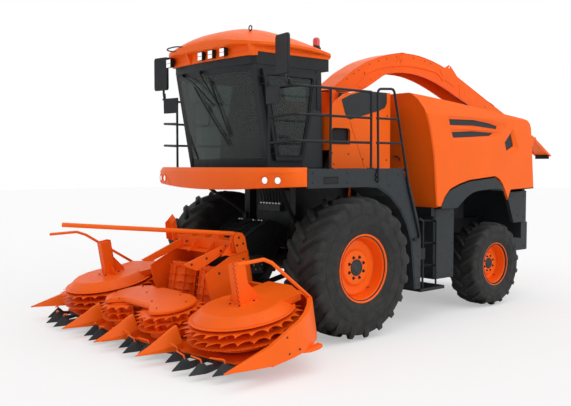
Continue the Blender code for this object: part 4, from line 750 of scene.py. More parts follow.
def addRotors():
    for side, tag in ((1, "l"), (-1, "r")):
        for kind, size, x, y in rotors:
            place = headerPlace @ Matrix.Translation((side * x, y, 0))
            node = kind + "_rotor_" + tag
            addPiece(kind + "Rotor" + tag.upper(), rotorShape(size, side), "orangeWorking", node, place,
                bevel=0.0012, replaces=[node])
            addPiece(kind + "Knife" + tag.upper(), knifeShape(size, side), "orangeWorking", node, place)
        place = headerPlace @ turned((side * drumDisc["x"], drumDisc["y"], drumDisc["z"]), drumDisc["lean"],
            "X")
        shapes = [spun([(0.034, 0.0), (0.20, 0.0), (0.205, 0.01), (0.195, 0.03), (0.195, 0.49), (0.205, 0.51),
            (0.20, 0.52), (0.034, 0.52)], sides=40, closed=True)]
        for k, level in enumerate(drumDisc["levels"]):
            shapes.append(toothedRing(drumDisc["tip"], drumDisc["valley"], drumDisc["teeth"], level,
                drumDisc["thick"], drumDisc["droop"], drumDisc["bore"], side, 0.25 * k))
        for k in range(9):
            a = 2 * math.pi * k / 9
            shapes.append(placed(block((0.19, 0.222), (-0.004, 0.004), (0.04, 0.48)),
                Matrix.Rotation(a, 4, "Z")))
        shapes += [bolt((0.12 * math.cos(a), 0.12 * math.sin(a), 0.52), (0, 0, 1), 0.012)
            for a in (0.5, 1.55, 2.6, 3.65, 4.7, 5.75)]
        node = "feed_drum_" + tag
        addPiece("feedDrum" + tag.upper(), together(*shapes), "orangeWorking", node, place, bevel=0.0015,
            replaces=[node])


def coverShape():
    # Faceted bowl with a rolled rim and the tray behind
    x, low = header["rotorX"], header["coverZ"]
    rim = [(0.50, low), (0.598, low), (0.606, low + 0.004), (0.606, low + 0.010), (0.598, low + 0.014),
        (0.572, low + 0.012), (0.50, low + 0.010)]
    shapes = [spun(rim, "z", (x, 0, 0), 64, closed=True)]
    rise = header["rise"]
    bowl = [(0.002, low + 0.001), (0.574, low + 0.001), (0.566, low + 0.020), (0.474, low + rise - 0.010),
        (0.456, low + rise - 0.003), (0.43, low + rise - 0.002), (0.002, low + rise)]
    shapes.append(spun(bowl, "z", (x, 0, 0), 16, start=math.pi / 16))
    tray = [(x - 0.42, 0.30), (x - 0.42, 0.770), (x, 0.770), (x + 0.348, 0.60), (x + 0.348, 0.30)]
    shapes.append(slab(tray, "z", low + 0.024, low + rise - 0.004))
    return shapes


def postShape():
    x = header["rotorX"]
    base, top = header["coverZ"] + header["rise"], header["coverZ"] + 0.59
    left, right, front, rear = x - 0.062, x + 0.050, -0.055, 0.105
    t = 0.006
    near = [(right, front), (right, rear), (left, rear), (left, rear - t), (right - t, rear - t),
        (right - t, front)]
    far = [(right - t - 0.004, front), (left, front), (left, rear - t - 0.004), (left + t, rear - t - 0.004),
        (left + t, front + t), (right - t - 0.004, front + t)]
    shapes = [slab(near, "z", base, top), slab(far, "z", base, top - 0.012)]
    shapes.append(slab([(left - 0.05, front - 0.05), (right + 0.05, front - 0.05),
        (right + 0.05, rear + 0.05), (left - 0.05, rear + 0.05)], "z", base - 0.002, base + 0.006))
    shapes.append(slab([(rear - 0.002, base), (rear + 0.16, base), (rear + 0.16, base + 0.03),
        (rear - 0.002, base + 0.26)], "x", x - 0.010, x - 0.002))
    shapes.append(slab([(left + 0.002, base), (left - 0.17, base), (left - 0.17, base + 0.02),
        (left + 0.002, base + 0.17)], "y", 0.02, 0.027))
    cap = slab([(left + 0.01, front + 0.01), (right - 0.01, front + 0.01), (right - 0.01, rear - 0.01),
        (left + 0.01, rear - 0.01)], "z", top - 0.03, top - 0.022)
    return shapes + [cap]


def postMarks():
    # Stitch-cut fold slots along the near corner, drawn as dark blocks that are painted shade of the cuts,
    # and bolts on the foot plate
    x = header["rotorX"]
    base = header["coverZ"] + header["rise"]
    slotShades = [block((x + 0.0502, x + 0.0510), (-0.050, -0.043), (z, z + 0.022))
        for z in [base + 0.03 + 0.052 * k for k in range(9)]]
    slotShades += [block((x + 0.034, x + 0.041), (-0.0560, -0.0552), (z, z + 0.022))
        for z in [base + 0.05 + 0.052 * k for k in range(9)]]
    feet = bolts([(x - 0.09, -0.08, base + 0.006), (x + 0.08, -0.08, base + 0.006),
        (x + 0.08, 0.13, base + 0.006), (x - 0.09, 0.13, base + 0.006)], (0, 0, 1), 0.011)
    return together(*slotShades, feet)


def addCovers():
    addPair("drumCover", together(*coverShape()), "orangeWorking", "header", headerPlace, 0.003,
        ("drum_cover",), 20)
    addPair("guidePost", together(*postShape()), "orangeWorking", "header", headerPlace, 0.0018, None)
    addPair("postMarks", postMarks(), "blackSteel", "header", headerPlace)
    # Two-lobed lid over the middle rotors
    low, lobeX, lobeY = header["coverZ"], header["innerX"], header["innerY"]
    outline = []
    for side, turns in ((1, range(-78, 121, 11)), (-1, range(60, 259, 11))):
        for turn in turns:
            a = math.radians(turn)
            outline.append((side * lobeX + 0.335 * math.cos(a), lobeY + 0.335 * math.sin(a)))
        if side > 0:
            outline += [(0.20, 0.10), (-0.20, 0.10)]
    outline += [(-0.32, -0.46), (0.32, -0.46)]
    middle = Vector((0, -0.15))
    rings = []
    for scale, z in ((0.972, low), (1.0, low + 0.004), (1.0, low + 0.030), (0.985, low + 0.040),
            (0.90, low + 0.056), (0.0, 0.0)):
        if scale:
            rings.append([(middle.x + (a - middle.x) * scale, middle.y + (b - middle.y) * scale, z) for a,
                b in outline])
    addPiece("centreLid", loft(rings), "orangeWorking", "header", headerPlace, 0.003, ["centre_cover"],
        24)
    places = [(s * lobeX + 0.25 * math.cos(a), lobeY + 0.25 * math.sin(a), low + 0.056) for s in (1, -1)
        for a in (0.4, 1.97, 3.54, 5.11)]
    addPiece("lidBolts", bolts(places, (0, 0, 1), 0.009), "blackSteel", "header", headerPlace)


def shieldShape():
    # End shield and rear wall: a standing sheet with its top lip folded inwards
    half, x0, wrap = header["half"], header["rotorX"], header["wrap"]
    t = 0.006
    # x, y, foot, top, lip width, and the inward direction
    stations = [(half - 0.022, -0.885, 0.132, 0.146, 0.004, (-1, 0)), (half - 0.012, -0.72, 0.098, 0.163,
        0.022, (-1, 0)), (half - 0.004, -0.52, 0.055, 0.183, 0.046, (-1, 0)),
        (half, -0.30, 0.012, 0.206, 0.066, (-1, 0)), (half, -0.26, 0.006, 0.212, 0.066, (-1, 0)),
        (half, -0.12, 0.0, 0.258, 0.062, (-1, 0)), (half, 0.0, 0.0, 0.300, 0.060, (-1, 0))]
    tops = (0.335, 0.375, 0.415, 0.42, 0.42, 0.42, 0.42)
    for k, top in enumerate(tops):
        a = min(math.radians(13 * (k + 1)), math.pi / 2)
        stations.append((x0 + wrap * math.cos(a), wrap * math.sin(a), 0.0, top, 0.06,
            (-math.cos(a), -math.sin(a))))
    stations.append((0.66, wrap, 0.0, header["wall"], 0.06, (0, -1)))
    rings = []
    for x, y, foot, top, lip, (dx, dy) in stations:
        profile = [(0, foot), (0, top - 0.006), (0.006, top), (lip, top), (lip, top - t),
            (t + 0.004, top - t - 0.002), (t, top - t - 0.006), (t, foot)]
        rings.append([(x + dx * inward, y + dy * inward, z) for inward, z in profile])
    shapes = [loft(rings)]
    # Underside flange of the nose and the rear foot bracket
    nose = loft([[(half - 0.17, -0.30, 0.012), (half - 0.004, -0.30, 0.012), (half - 0.004, -0.30, 0.020),
        (half - 0.17, -0.30, 0.020)], [(half - 0.035, -0.85, 0.128), (half - 0.022, -0.85, 0.128),
        (half - 0.022, -0.85, 0.134), (half - 0.035, -0.85, 0.134)]])
    inner = loft([[(half - 0.17, -0.30, 0.012), (half - 0.165, -0.30, 0.012), (half - 0.07, -0.30, 0.203),
        (half - 0.075, -0.30, 0.203)], [(half - 0.035, -0.85, 0.128), (half - 0.032, -0.85, 0.128),
        (half - 0.024, -0.85, 0.147), (half - 0.027, -0.85, 0.147)]])
    foot = slab([(0.16, 0.002), (0.44, 0.002), (0.44, -0.035), (0.38, -0.045), (0.26, -0.035),
        (0.16, -0.010)], "x", half - 0.10, half - 0.02)
    return shapes + [nose, inner, foot]


def panShape():
    # Flat floor plate
    half, x0, wrap = header["half"], header["rotorX"], header["wrap"]
    arc = [(x0 + (wrap - 0.004) * math.cos(math.radians(a)), (wrap - 0.004) * math.sin(math.radians(a)))
        for a in range(0, 91, 9)]
    right = [(half - 0.004, -0.30), *arc, (0.66, wrap - 0.004)]
    edge = header["floorEdge"]
    outline = right[1:] + [(-a, b) for a, b in reversed(right[1:])] + [(-half + 0.004, -0.30),
        (-half + 0.16, -0.30)]
    outline += [(-a, b) for a, b in edge] + [(a, b) for a, b in reversed(edge[:-1])] + [(half - 0.16, -0.30),
        (half - 0.004, -0.30)]
    return slab(outline, "z", 0.001, 0.022)


def dividerShape(x, shift=0.0):
    # Long folded pyramid: ridge, two cheeks and a flat underside
    rows = [(-1.068 + shift, 0.005, 0.004, 0.104, 0.114), (-0.90 + shift, 0.036, 0.014, 0.074, 0.158),
        (-0.70 + shift, 0.078, 0.030, 0.036, 0.222), (-0.60 + shift, 0.092, 0.040, 0.020, 0.262),
        (-0.50 + shift, 0.095, 0.052, 0.012, 0.288)]
    rings = []
    for y, wide, ridge, low, high in rows:
        rings.append([(x - wide, y, low), (x + wide, y, low), (x + wide * 0.97, y, low + (high - low) * 0.30),
            (x + ridge * 0.5, y, high - 0.006), (x, y, high), (x - ridge * 0.5, y, high - 0.006),
            (x - wide * 0.97, y, low + (high - low) * 0.30)])
    return loft(rings)


def intakeShapes():
    wall = [(0.200, 0.39), (0.240, 0.255), (0.57, 0.255), (0.60, 0.03), (0.895, 0.03), (0.895, 0.79),
        (0.60, 0.782), (0.20, 0.658)]
    side = slab(wall, "x", 0.632, 0.640)
    fold = swept([(0.636, 0.204, 0.40), (0.636, 0.196, 0.655), (0.636, 0.60, 0.778), (0.636, 0.885, 0.785)],
        strip(0.012, 0.004))
    guides = []
    for x, flat in ((0.479, [(0.031, 0.812), (0.06, 0.822), (0.655, 0.905), (0.658, 0.812), (0.192, 0.690),
            (0.045, 0.775)]), (-0.486, [(-0.008, 0.786), (0.03, 0.802), (0.645, 0.925), (0.625, 0.826),
            (0.133, 0.735), (0.01, 0.768)])):
        plate = slab(flat, "x", x, x + 0.007)
        lip = swept([(x + 0.004, a, b) for a, b in (flat[0], flat[2])], [(-0.030, -0.003), (0.002, -0.003),
            (0.002, 0.004), (-0.030, 0.004)])
        guides += [plate, lip]
    rear = slab([(-0.64, 0.03), (-0.32, 0.03), (-0.32, 0.74), (0.32, 0.74), (0.32, 0.03), (0.64, 0.03),
        (0.64, 0.795), (-0.64, 0.795)], "y", 0.887, 0.897)
    roof = slab([(-0.64, 0.60), (0.64, 0.60), (0.64, 0.897), (-0.64, 0.897)], "z", 0.788, 0.796)
    beam = swept([(-0.80, 0.775, 0.875), (0.61, 0.775, 0.875)], strip(0.055, 0.075))
    caps = [block((x, x + 0.008), (0.705, 0.845), (0.79, 0.965)) for x in (-0.806, 0.606)]
    ear = [slab([(-0.92, 0.84), (-0.925, 1.15), (-0.80, 1.225), (-0.735, 1.16), (-0.735, 0.84)], "y", 0.75,
        0.758), slab([(0.755, 0.84), (0.755, 1.15), (0.69, 1.11), (0.67, 0.88)], "x", -0.925, -0.918),
        slab([(0.755, 0.84), (0.755, 1.16), (0.67, 1.10), (0.67, 0.88)], "x", -0.742, -0.735)]
    cheeks = [slab([(0.70, 0.795), (0.68, 0.97), (0.71, 1.035), (0.765, 1.06), (0.83, 1.035), (0.865, 0.97),
        (0.87, 0.795)], "x", x, x + 0.008) for x in (0.612, 0.648)]
    stands = [slab([(x, 0.948), (x + 0.20, 0.948), (x + 0.18, 0.998), (x + 0.02, 0.985)], "y", 0.78, 0.787)
        for x in (-0.62, -0.30, 0.02)]
    stands += [slab([(0.72, 0.948), (0.83, 0.948), (0.80, 1.01), (0.74, 1.01)], "x", x, x + 0.007)
        for x in (-0.65, -0.36, -0.05, 0.26)]
    braces = [slab([(0.52, 0.795), (0.705, 0.795), (0.705, 0.94)], "x", x, x + 0.007)
        for x in (-0.56, -0.2, 0.2, 0.56)]
    return [side, mirrored(side), fold, mirrored(fold), rear, roof, beam, *caps, *ear, *cheeks, *stands,
        *braces, *guides]


def armShape():
    # Bent stalk guide on the rear wall, with its foot plate and lock nut
    x = header["rotorX"] + 0.8 * math.cos(math.radians(60))
    stalk = [(x, 0.693, 0.34), (x, 0.690, 0.40), (x + 0.19, 0.05, 1.00), (x + 0.215, -0.07, 1.07),
        (x + 0.265, -0.45, 1.12)]
    rod = tube(curved(stalk, 0.06), 0.020, sides=16)
    plate = placed(block((-0.05, 0.05), (-0.004, 0.004), (-0.06, 0.06)), turned((x + 0.010, 0.690, 0.36), -30,
        "Z"))
    tip = placed(disc(0.0215, -0.006, 0.006, sides=16, edge=0.003), facing((0.05, -0.38, 0.05),
        (x + 0.265, -0.45, 1.12)))
    return together(rod, plate, tip)


def frontEdge(x):
    # Front edge of the floor at this x, or the sweep of the rotor where that reaches further
    edge = header["floorEdge"]
    rim = edge[0][1]
    for (x1, y1), (x0, y0) in zip(edge, edge[1:]):
        if x0 <= x <= x1:
            rim = y0 + (y1 - y0) * (x - x0) / (x1 - x0)
    sweeps = [(a, b, size["tip"]) for _, size, a, b in rotors]
    reach = [b - math.sqrt(r * r - (x - a) ** 2) for a, b, r in sweeps if abs(x - a) < r]
    return min([rim, *reach])


def addLifterRods():
    # Thin spring rods from the head of each crop lifter towards the machine's middle
    rods = []
    for x in (0.21, 0.43, 0.66, 1.18, 1.47, 1.75, 1.99):
        y = frontEdge(x) - 0.094
        away = frontEdge(max(0.0, x - 0.13)) - 0.094
        rods.append(tube(curved([(x + 0.004, y, 0.070), (x, y - 0.002, 0.128),
            (x - 0.13, min(y, away) - 0.004, 0.152)], 0.02), 0.009, sides=12))
    addPair("lifterRods", together(*rods), "orangeWorking", "header", headerPlace)


def addHeaderFrame():
    addPair("stalkGuides", armShape(), "orangeEnamel", "header", headerPlace, 0.001)
    addPiece("headerPan", panShape(), "orangeWorking", "header", headerPlace, 0.002, ["header_frame"])
    addPair("endShield", together(*shieldShape()), "orangeEnamel", "header", headerPlace, 0.0012, None,
        28)
    dividers = together(dividerShape(0.93), dividerShape(-0.93), dividerShape(0.0, -0.03))
    addPiece("dividers", dividers, "orangeEnamel", "header", headerPlace, 0.003, (), 18)
    addPiece("intakeFrame", together(*intakeShapes()), "orangeWorking", "header", headerPlace, 0.0012, ())
    places = [((0.656, y, z), (1, 0, 0)) for y, z in ((0.765, 0.99), (0.72, 0.90), (0.82, 0.90))]
    places += [((x, 0.703, 0.875), (0, -1, 0)) for x in (-0.70, -0.46, 0.42, 0.50)]
    onWall = ((0.80, 0.12), (0.80, 0.40), (0.80, 0.70), (0.40, 0.62), (0.40, 0.30))
    places += [((side * 0.641, y, z), (side, 0, 0)) for side in (1, -1) for y, z in onWall]
    places += [((0.486, y, z), (1, 0, 0)) for y, z in ((0.12, 0.79), (0.35, 0.81), (0.58, 0.85))]
    addPiece("intakeBolts", together(*[bolt(at, d, 0.012) for at, d in places]), "blackSteel", "header",
        headerPlace)
    onShield = [(2.3535, y, z) for y, z in ((-0.05, 0.06), (-0.05, 0.24), (0.10, 0.06))]
    addPair("shieldBolts", bolts(onShield, (1, 0, 0), 0.009), "blackSteel", "header", headerPlace)
    # Spindle caps and greased bearings under the lids stay out of sight; the skid plates below don't
    skids = together(*[slab([(-0.40, -0.001), (0.50, -0.001), (0.44, -0.020), (-0.34, -0.020)], "x", x - 0.05,
        x + 0.05) for x in (-1.55, -0.45, 0.45, 1.55)])
    addPiece("skidPlates", skids, "knifeSteel", "header", headerPlace, 0.003)
    bar = tube(curved([(0.60, 0.775, 1.025), (0.52, 0.76, 1.035), (-0.93, -0.80, 1.42)], 0.05), 0.029,
        sides=20)
    foot = spun([(0.022, 0.945), (0.034, 0.948), (0.034, 0.975), (0.024, 0.99), (0.024, 1.03)],
        centre=(0.50, 0.775, 0), sides=24)
    end = placed(disc(0.031, 0, 0.012, sides=20, edge=0.003), facing((-0.665, -0.72, 0.178),
        (-0.925, -0.795, 1.4187)))
    addPiece("cropBar", together(bar, foot, end), "orangeEnamel", "header", headerPlace,
        replaces=["crop_bar"])


addRotors()
addCovers()
addHeaderFrame()
addLifterRods()
print("header ready")


# Front beam with its headlamps
def beamLine():
    beam = [(1.52, -0.93, 1.985), (1.43, -1.12, 1.98), (1.10, -1.24, 1.965), (0.60, -1.32, 1.94),
        (0.0, -1.355, 1.93)]
    return spline(beam + [(-x, y, z) for x, y, z in reversed(beam[:-1])], 6)


def outward(line, k):
    run = line[min(k + 1, len(line) - 1)] - line[max(k - 1, 0)]
    square = Vector((-run.y, run.x, 0)).normalized()
    return square * -1 if run.x > 0 else square


def onBeam(x, z, proud=0.0):
    line = beamLine()
    k = min(range(len(line)), key=lambda i: abs(line[i].x - x))
    k = min(max(k, 1), len(line) - 2)
    a, b = (line[k - 1], line[k]) if x > line[k].x else (line[k], line[k + 1])
    share = (x - a.x) / (b.x - a.x)
    normal = outward(line, k)
    return Vector((x, a.y + (b.y - a.y) * share, z)) + normal * proud, normal


def addBeam():
    line = beamLine()
    rings = []
    for k, point in enumerate(line):
        normal = outward(line, k)
        if k in (0, len(line) - 1):
            normal = Vector((math.copysign(0.2, point.x), -1, 0)).normalized()
        low = point.z
        section = [(0.049, 2.213), (0.046, 2.2195), (0.036, 2.2195), (0.0, 2.168), (0.0, low + 0.022),
            (0.010, low + 0.004), (0.028, low), (0.049, low)]
        rings.append([(point.x - normal.x * d, point.y - normal.y * d, z) for d, z in section])
    addPiece("frontBeam", loft(rings), "orangeEnamel", bevel=0.003, replaces=("front_beam",))
    ridge = [onBeam(x, z, 0.0)[0] for x, z in ((0.93, 1.962), (0.97, 2.02), (1.03, 2.08), (1.12, 2.128),
        (1.24, 2.148), (1.36, 2.152), (1.46, 2.150))]
    addPair("beamContour", tube(spline(ridge, 4), 0.006, sides=8), "orangeEnamel")
    rims, bowls, lenses = [], [], []
    for x in (1.13, 1.31):
        at, normal = onBeam(x, 2.062)
        turn = facing(normal, at)
        rims.append(placed(spun([(0.047, 0.001), (0.060, 0.001), (0.061, 0.006), (0.056, 0.010),
            (0.050, 0.009), (0.047, 0.004)], closed=True), turn))
        bowls.append(placed(spun([(0.0475, 0.0005), (0.0475, 0.003), (0.041, 0.003), (0.041, 0.0005)],
            closed=True), turn))
        lenses.append(placed(spun([(0.041, 0.001), (0.041, 0.004), (0.030, 0.0075), (0.012, 0.0095),
            (0.002, 0.010)]), turn))
    addPair("headlampRims", together(*rims), "orangeEnamel")
    addPair("headlampSeals", together(*bowls), "blackCoat")
    addPair("headlampLenses", together(*lenses), "lampGlass")


# Cab roof: a lip all round, a visor with work lamps, the beacon and the lifting eye
def roofRows():
    # y, half width, z of the rim, z of the crown
    rows = [(-1.398, 0.66, 3.80, 3.832), (-1.375, 0.76, 3.785, 3.868), (-1.30, 0.885, 3.772, 3.925),
        (-1.16, 0.955, 3.768, 3.985), (-0.87, 0.985, 3.775, 4.048), (-0.55, 0.985, 3.775, 4.032),
        (-0.22, 0.97, 3.762, 3.972), (0.03, 0.935, 3.742, 3.892), (0.11, 0.90, 3.728, 3.85),
        (0.148, 0.84, 3.715, 3.80)]
    return spline([Vector(row) for row in rows], 5)


def roofTop(x, y):
    rows = roofRows()
    row = min(rows, key=lambda r: abs(r[0] - y))
    share = min(1.0, abs(x) / row[1])
    return row[2] + (row[3] - row[2]) * (1 - share ** 2.6)


def workLamp(x, y, z, wide=0.100, tall=0.112, deep=0.062):
    # Housing, the two-part lens and the hinged bracket, with the lamp's middle at x, y, z
    housing = loft([[(x - wide / 2, y - deep / 2, z - tall / 2), (x + wide / 2, y - deep / 2, z - tall / 2),
        (x + wide / 2, y - deep / 2, z + tall / 2), (x - wide / 2, y - deep / 2, z + tall / 2)],
        [(x - wide * 0.42, y + deep / 2, z - tall * 0.40), (x + wide * 0.42, y + deep / 2, z - tall * 0.40),
        (x + wide * 0.42, y + deep / 2, z + tall * 0.40), (x - wide * 0.42, y + deep / 2, z + tall * 0.40)]])
    front = y - deep / 2
    lens = together(block((x - wide / 2 + 0.006, x + wide / 2 - 0.006), (front - 0.004, front),
        (z + 0.003, z + tall / 2 - 0.006)), block((x - wide / 2 + 0.006, x + wide / 2 - 0.006),
        (front - 0.004, front), (z - tall / 2 + 0.006, z - 0.003)))
    top = z + tall / 2
    bracket = together(*[block((x + s - 0.003, x + s + 0.003), (y - 0.02, y + 0.02), (z - 0.01, top + 0.03))
        for s in (-wide / 2 - 0.004, wide / 2 + 0.004)], block((x - wide / 2 - 0.007, x + wide / 2 + 0.007),
        (y - 0.02, y + 0.02), (top + 0.024, top + 0.030)), slab([(x - 0.022, top + 0.03),
        (x + 0.022, top + 0.03), (x + 0.012, top + 0.075), (x - 0.012, top + 0.075)], "y", y - 0.012, y
        + 0.012), disc(0.009, x - wide / 2 - 0.014, x + wide / 2 + 0.014, "x", (0, y, z), 12, 0.002))
    return housing, lens, bracket


def addRoof():
    rings = []
    shares = [i / 11 for i in range(-11, 12)]
    for y, half, rim, crown in roofRows():
        top = [(half * s, y, rim + (crown - rim) * (1 - abs(s) ** 2.6)) for s in shares]
        under = [(half - 0.002, y, rim - 0.030), (half - 0.016, y, rim - 0.044),
            (half - 0.05, y, rim - 0.044)]
        rings.append(top + under + [(-x, y, z) for x, y, z in reversed(under)])
    addPiece("cabRoof", loft(rings), "orangeEnamel", bevel=0.004, replaces=("cab_roof",), angle=40)
    body = [(0.90, 0.085), (0.90, -1.18), (0.86, -1.235), (0.60, -1.262), (0.30, -1.280), (0.0, -1.286)]
    plan = body + [(-x, y) for x, y in reversed(body[:-1])]
    addPiece("roofSkirt", slab(plan, "z", 3.655, 3.742), "orangeEnamel", bevel=0.006)
    chin = [(x * 0.999, y - 0.004) for x, y in body[1:]] + [(x * 0.999, y + 0.03) for x,
        y in reversed(body[1:])]
    addPair("visorChin", slab(chin, "z", 3.605, 3.658), "orangeEnamel", bevel=0.003)
    trim = [(x * 0.985, y * 0.985) for x, y in plan]
    addPiece("cabHeader", slab(trim, "z", 3.5006, 3.654), "blackCoat", bevel=0.004)
    post = slab([(-1.30, 3.745), (-1.20, 3.745), (-1.19, 3.60), (-1.232, 3.60)], "x", 0.855, 0.902)
    strut = slab([(-1.375, 3.762), (-1.26, 3.762), (-1.27, 3.610), (-1.296, 3.610)], "x", 0.36, 0.40)
    addPair("visorStruts", together(post, strut), "orangeEnamel", bevel=0.004)
    rib = tube([(0.905, -1.16, 3.700), (0.905, 0.06, 3.700)], 0.008, sides=8)
    addPair("roofRibs", rib, "orangeEnamel")
    parts = [workLamp(x, -1.318, 3.672) for x in (-0.065, 0.165, 0.42)] + [workLamp(-0.83, -1.31, 3.655, 0.11,
        0.12, 0.075)]
    addPiece("workLampHousings", together(*[part[0] for part in parts]), "blackCoat", bevel=0.003)
    addPiece("workLampLenses", together(*[part[1] for part in parts]), "lampGlass", bevel=0.001)
    addPiece("workLampBrackets", together(*[part[2] for part in parts]), "blackSteel", bevel=0.001)
    loop = [(-0.46, -1.385, 3.772), (-0.60, -1.392, 3.790), (-0.74, -1.392, 3.815), (-0.80, -1.385, 3.842),
        (-0.72, -1.392, 3.852), (-0.55, -1.392, 3.850), (-0.40, -1.385, 3.828), (-0.34, -1.372, 3.80)]
    addPiece("washerHose", tube(spline(loop, 5), 0.009, sides=10), "hoseRubber")
    base = roofTop(0.6, -1.03)
    ring = spun([(0.030 + 0.0075 * math.cos(a), 0.0075 * math.sin(a)) for a in turns(10)], "y",
        (0.60, -1.03, base + 0.046), 28, closed=True)
    addPiece("liftingEye", together(ring, disc(0.014, base - 0.012, base + 0.018, "z", (0.60, -1.03, 0), 16,
        0.003)), "blackSteel")
    x, y = 0.70, 0.03
    low = roofTop(x, y) - 0.01
    addPiece("beaconFoot", spun([(0.062, low), (0.062, low + 0.022), (0.050, low + 0.032),
        (0.046, low + 0.050), (0.020, low + 0.050)], centre=(x, y, 0)), "blackCoat")
    addPiece("beaconLens", spun([(0.047, low + 0.050), (0.048, low + 0.120), (0.043, low + 0.145),
        (0.026, low + 0.160), (0.003, low + 0.164)], centre=(x, y, 0)), "redLens")


# Windscreen wipers on the far top corner, with the two blades they carry
def addWipers():
    def onGlass(x, z, proud):
        # The pane leans and bows
        share = (z - 2.33) / 1.09
        return Vector((x, -0.96 - 0.215 * share - 0.10 * (1 - (x / 0.81) ** 2) - proud, z))
    arms = [((-0.62, 3.47), (-0.30, 3.34), (0.10, 3.02)), ((-0.12, 3.47), (0.00, 3.30), (0.18, 3.04))]
    shapes, blades, pivots = [], [], []
    for points in arms:
        path = [onGlass(x, z, 0.045) for x, z in points]
        shapes.append(swept(spline(path, 5), strip(0.011, 0.005)))
        x, z = points[0]
        pivots.append(placed(disc(0.024, -0.03, 0.02, edge=0.004), facing((0, -1, -0.2),
            onGlass(x, z, 0.03))))
    for start, end in (((0.05, 3.36), (0.28, 2.62)), ((-0.35, 3.30), (0.24, 2.50))):
        path = [onGlass(start[0] + (end[0] - start[0]) * i / 8, start[1] + (end[1] - start[1]) * i / 8, 0.016)
            for i in range(9)]
        blades.append(swept(path, [(-0.004, -0.010), (0.004, -0.010), (0.012, 0.006), (0.007, 0.014),
            (-0.007, 0.014), (-0.012, 0.006)]))
    addPiece("wiperArms", together(*shapes), "blackSteel", bevel=0.001)
    addPiece("wiperBlades", together(*blades), "hoseRubber")
    addPiece("wiperPivots", together(*pivots), "blackSteel")


# Handrails, mirrors and the ladder's gate rail
def addRails():
    rail = {"radius": 0.0165, "x": 1.49, "frontX": 1.03, "frontY": -1.08, "rearY": 0.27}
    r, x, fx, fy, ry = rail["radius"], rail["x"], rail["frontX"], rail["frontY"], rail["rearY"]
    bars = []
    for z in (3.20, 2.86, 2.54):
        bars.append(tube([(fx, fy, z - 0.02), (x, fy + 0.04, z), (x, ry, z)], r, 0.11, 12))
    bars.append(tube([(fx, fy, 3.20), (fx, fy, deckTop)], r, 0, 12))
    bars.append(tube([(x, -0.47, 3.20), (x, -0.47, deckTop)], r, 0, 12))
    bars.append(tube([(x, ry - 0.10, 3.20), (x, ry, 3.20), (x, ry, deckTop)], r, 0.06, 12))
    addPair("handrail", together(*bars), "blackCoat", replaces=("handrail",))
    feet = []
    for px, py in ((fx, fy), (x - 0.012, -0.47), (x - 0.012, ry)):
        feet.append(block((px - 0.035, px + 0.035), (py - 0.035, py + 0.035), (deckTop, 2.2086)))
        feet += [bolt((px + a, py + b, 2.2086), (0, 0, 1), 0.007) for a in (-0.024, 0.024)
            for b in (-0.024, 0.024)]
    addPair("handrailFeet", together(*feet), "blackSteel", bevel=0.001)
    mx, my = 1.35, -1.11
    stalk = together(tube([(mx + 0.02, my + 0.06, 3.19), (mx, my + 0.01, 3.26), (mx, my, 3.52)], 0.017, 0.04),
        slab([(mx + 0.01, 3.20), (mx + 0.11, 3.205), (mx + 0.02, 3.30)], "y", my + 0.045, my + 0.055))
    addPair("mirrorStalks", stalk, "blackSteel", bevel=0.001)
    housing = slab([(-0.125, -0.235), (0.125, -0.235), (0.140, -0.205), (0.140, 0.205), (0.122, 0.238),
        (-0.122, 0.238), (-0.140, 0.205), (-0.140, -0.205)], "y", -0.018, 0.022)
    glass = slab([(-0.118, -0.215), (0.118, -0.215), (0.124, 0.205), (-0.124, 0.205)], "y", 0.0225, 0.025)
    lower = slab([(-0.15, -0.105), (0.15, -0.105), (0.158, 0.10), (0.148, 0.112), (-0.148, 0.112),
        (-0.158, 0.10)], "y", -0.008, 0.010)
    turn = turned((mx, my - 0.03, 3.57), -9, "Z")
    addPair("mirrorHousings", placed(housing, turn), "blackCoat", bevel=0.006)
    addPair("mirrorPanes", placed(glass, turn), "mirrorGlass")
    plate = placed(lower, turned((fx + 0.11, fy - 0.035, 3.10), -8, "Z"))
    addPair("boardPlates", plate, "blackCoat", bevel=0.006)
    gx = 1.5373
    gate = [(gx, 0.36, 2.02), (gx, 0.34, 3.24), (gx, 0.66, 3.26), (gx, 0.98, 1.95), (gx, 1.24, 1.22),
        (gx, 1.10, 1.22)]
    bars = [tube(gate, 0.0165, 0.075, 12)]
    bars.append(tube([(gx, 0.35, 2.86), (gx, 0.755, 2.86)], 0.0155))
    bars.append(tube([(gx, 0.35, 2.54), (gx, 0.83, 2.54)], 0.0155))
    addPiece("gateRail", together(*bars), "blackCoat", replaces=("ladder_rail",))
    clamps = [disc(0.024, -0.012, 0.012, "z", (gx, 0.345, z), 18, 0.003) for z in (2.54, 2.86)]
    clamps += [block((gx - 0.012, gx + 0.003), (0.32, 0.40), (z - 0.02, z + 0.02)) for z in (2.06, 2.12)]
    addPiece("gateClamps", together(*clamps), "blackSteel", bevel=0.002)


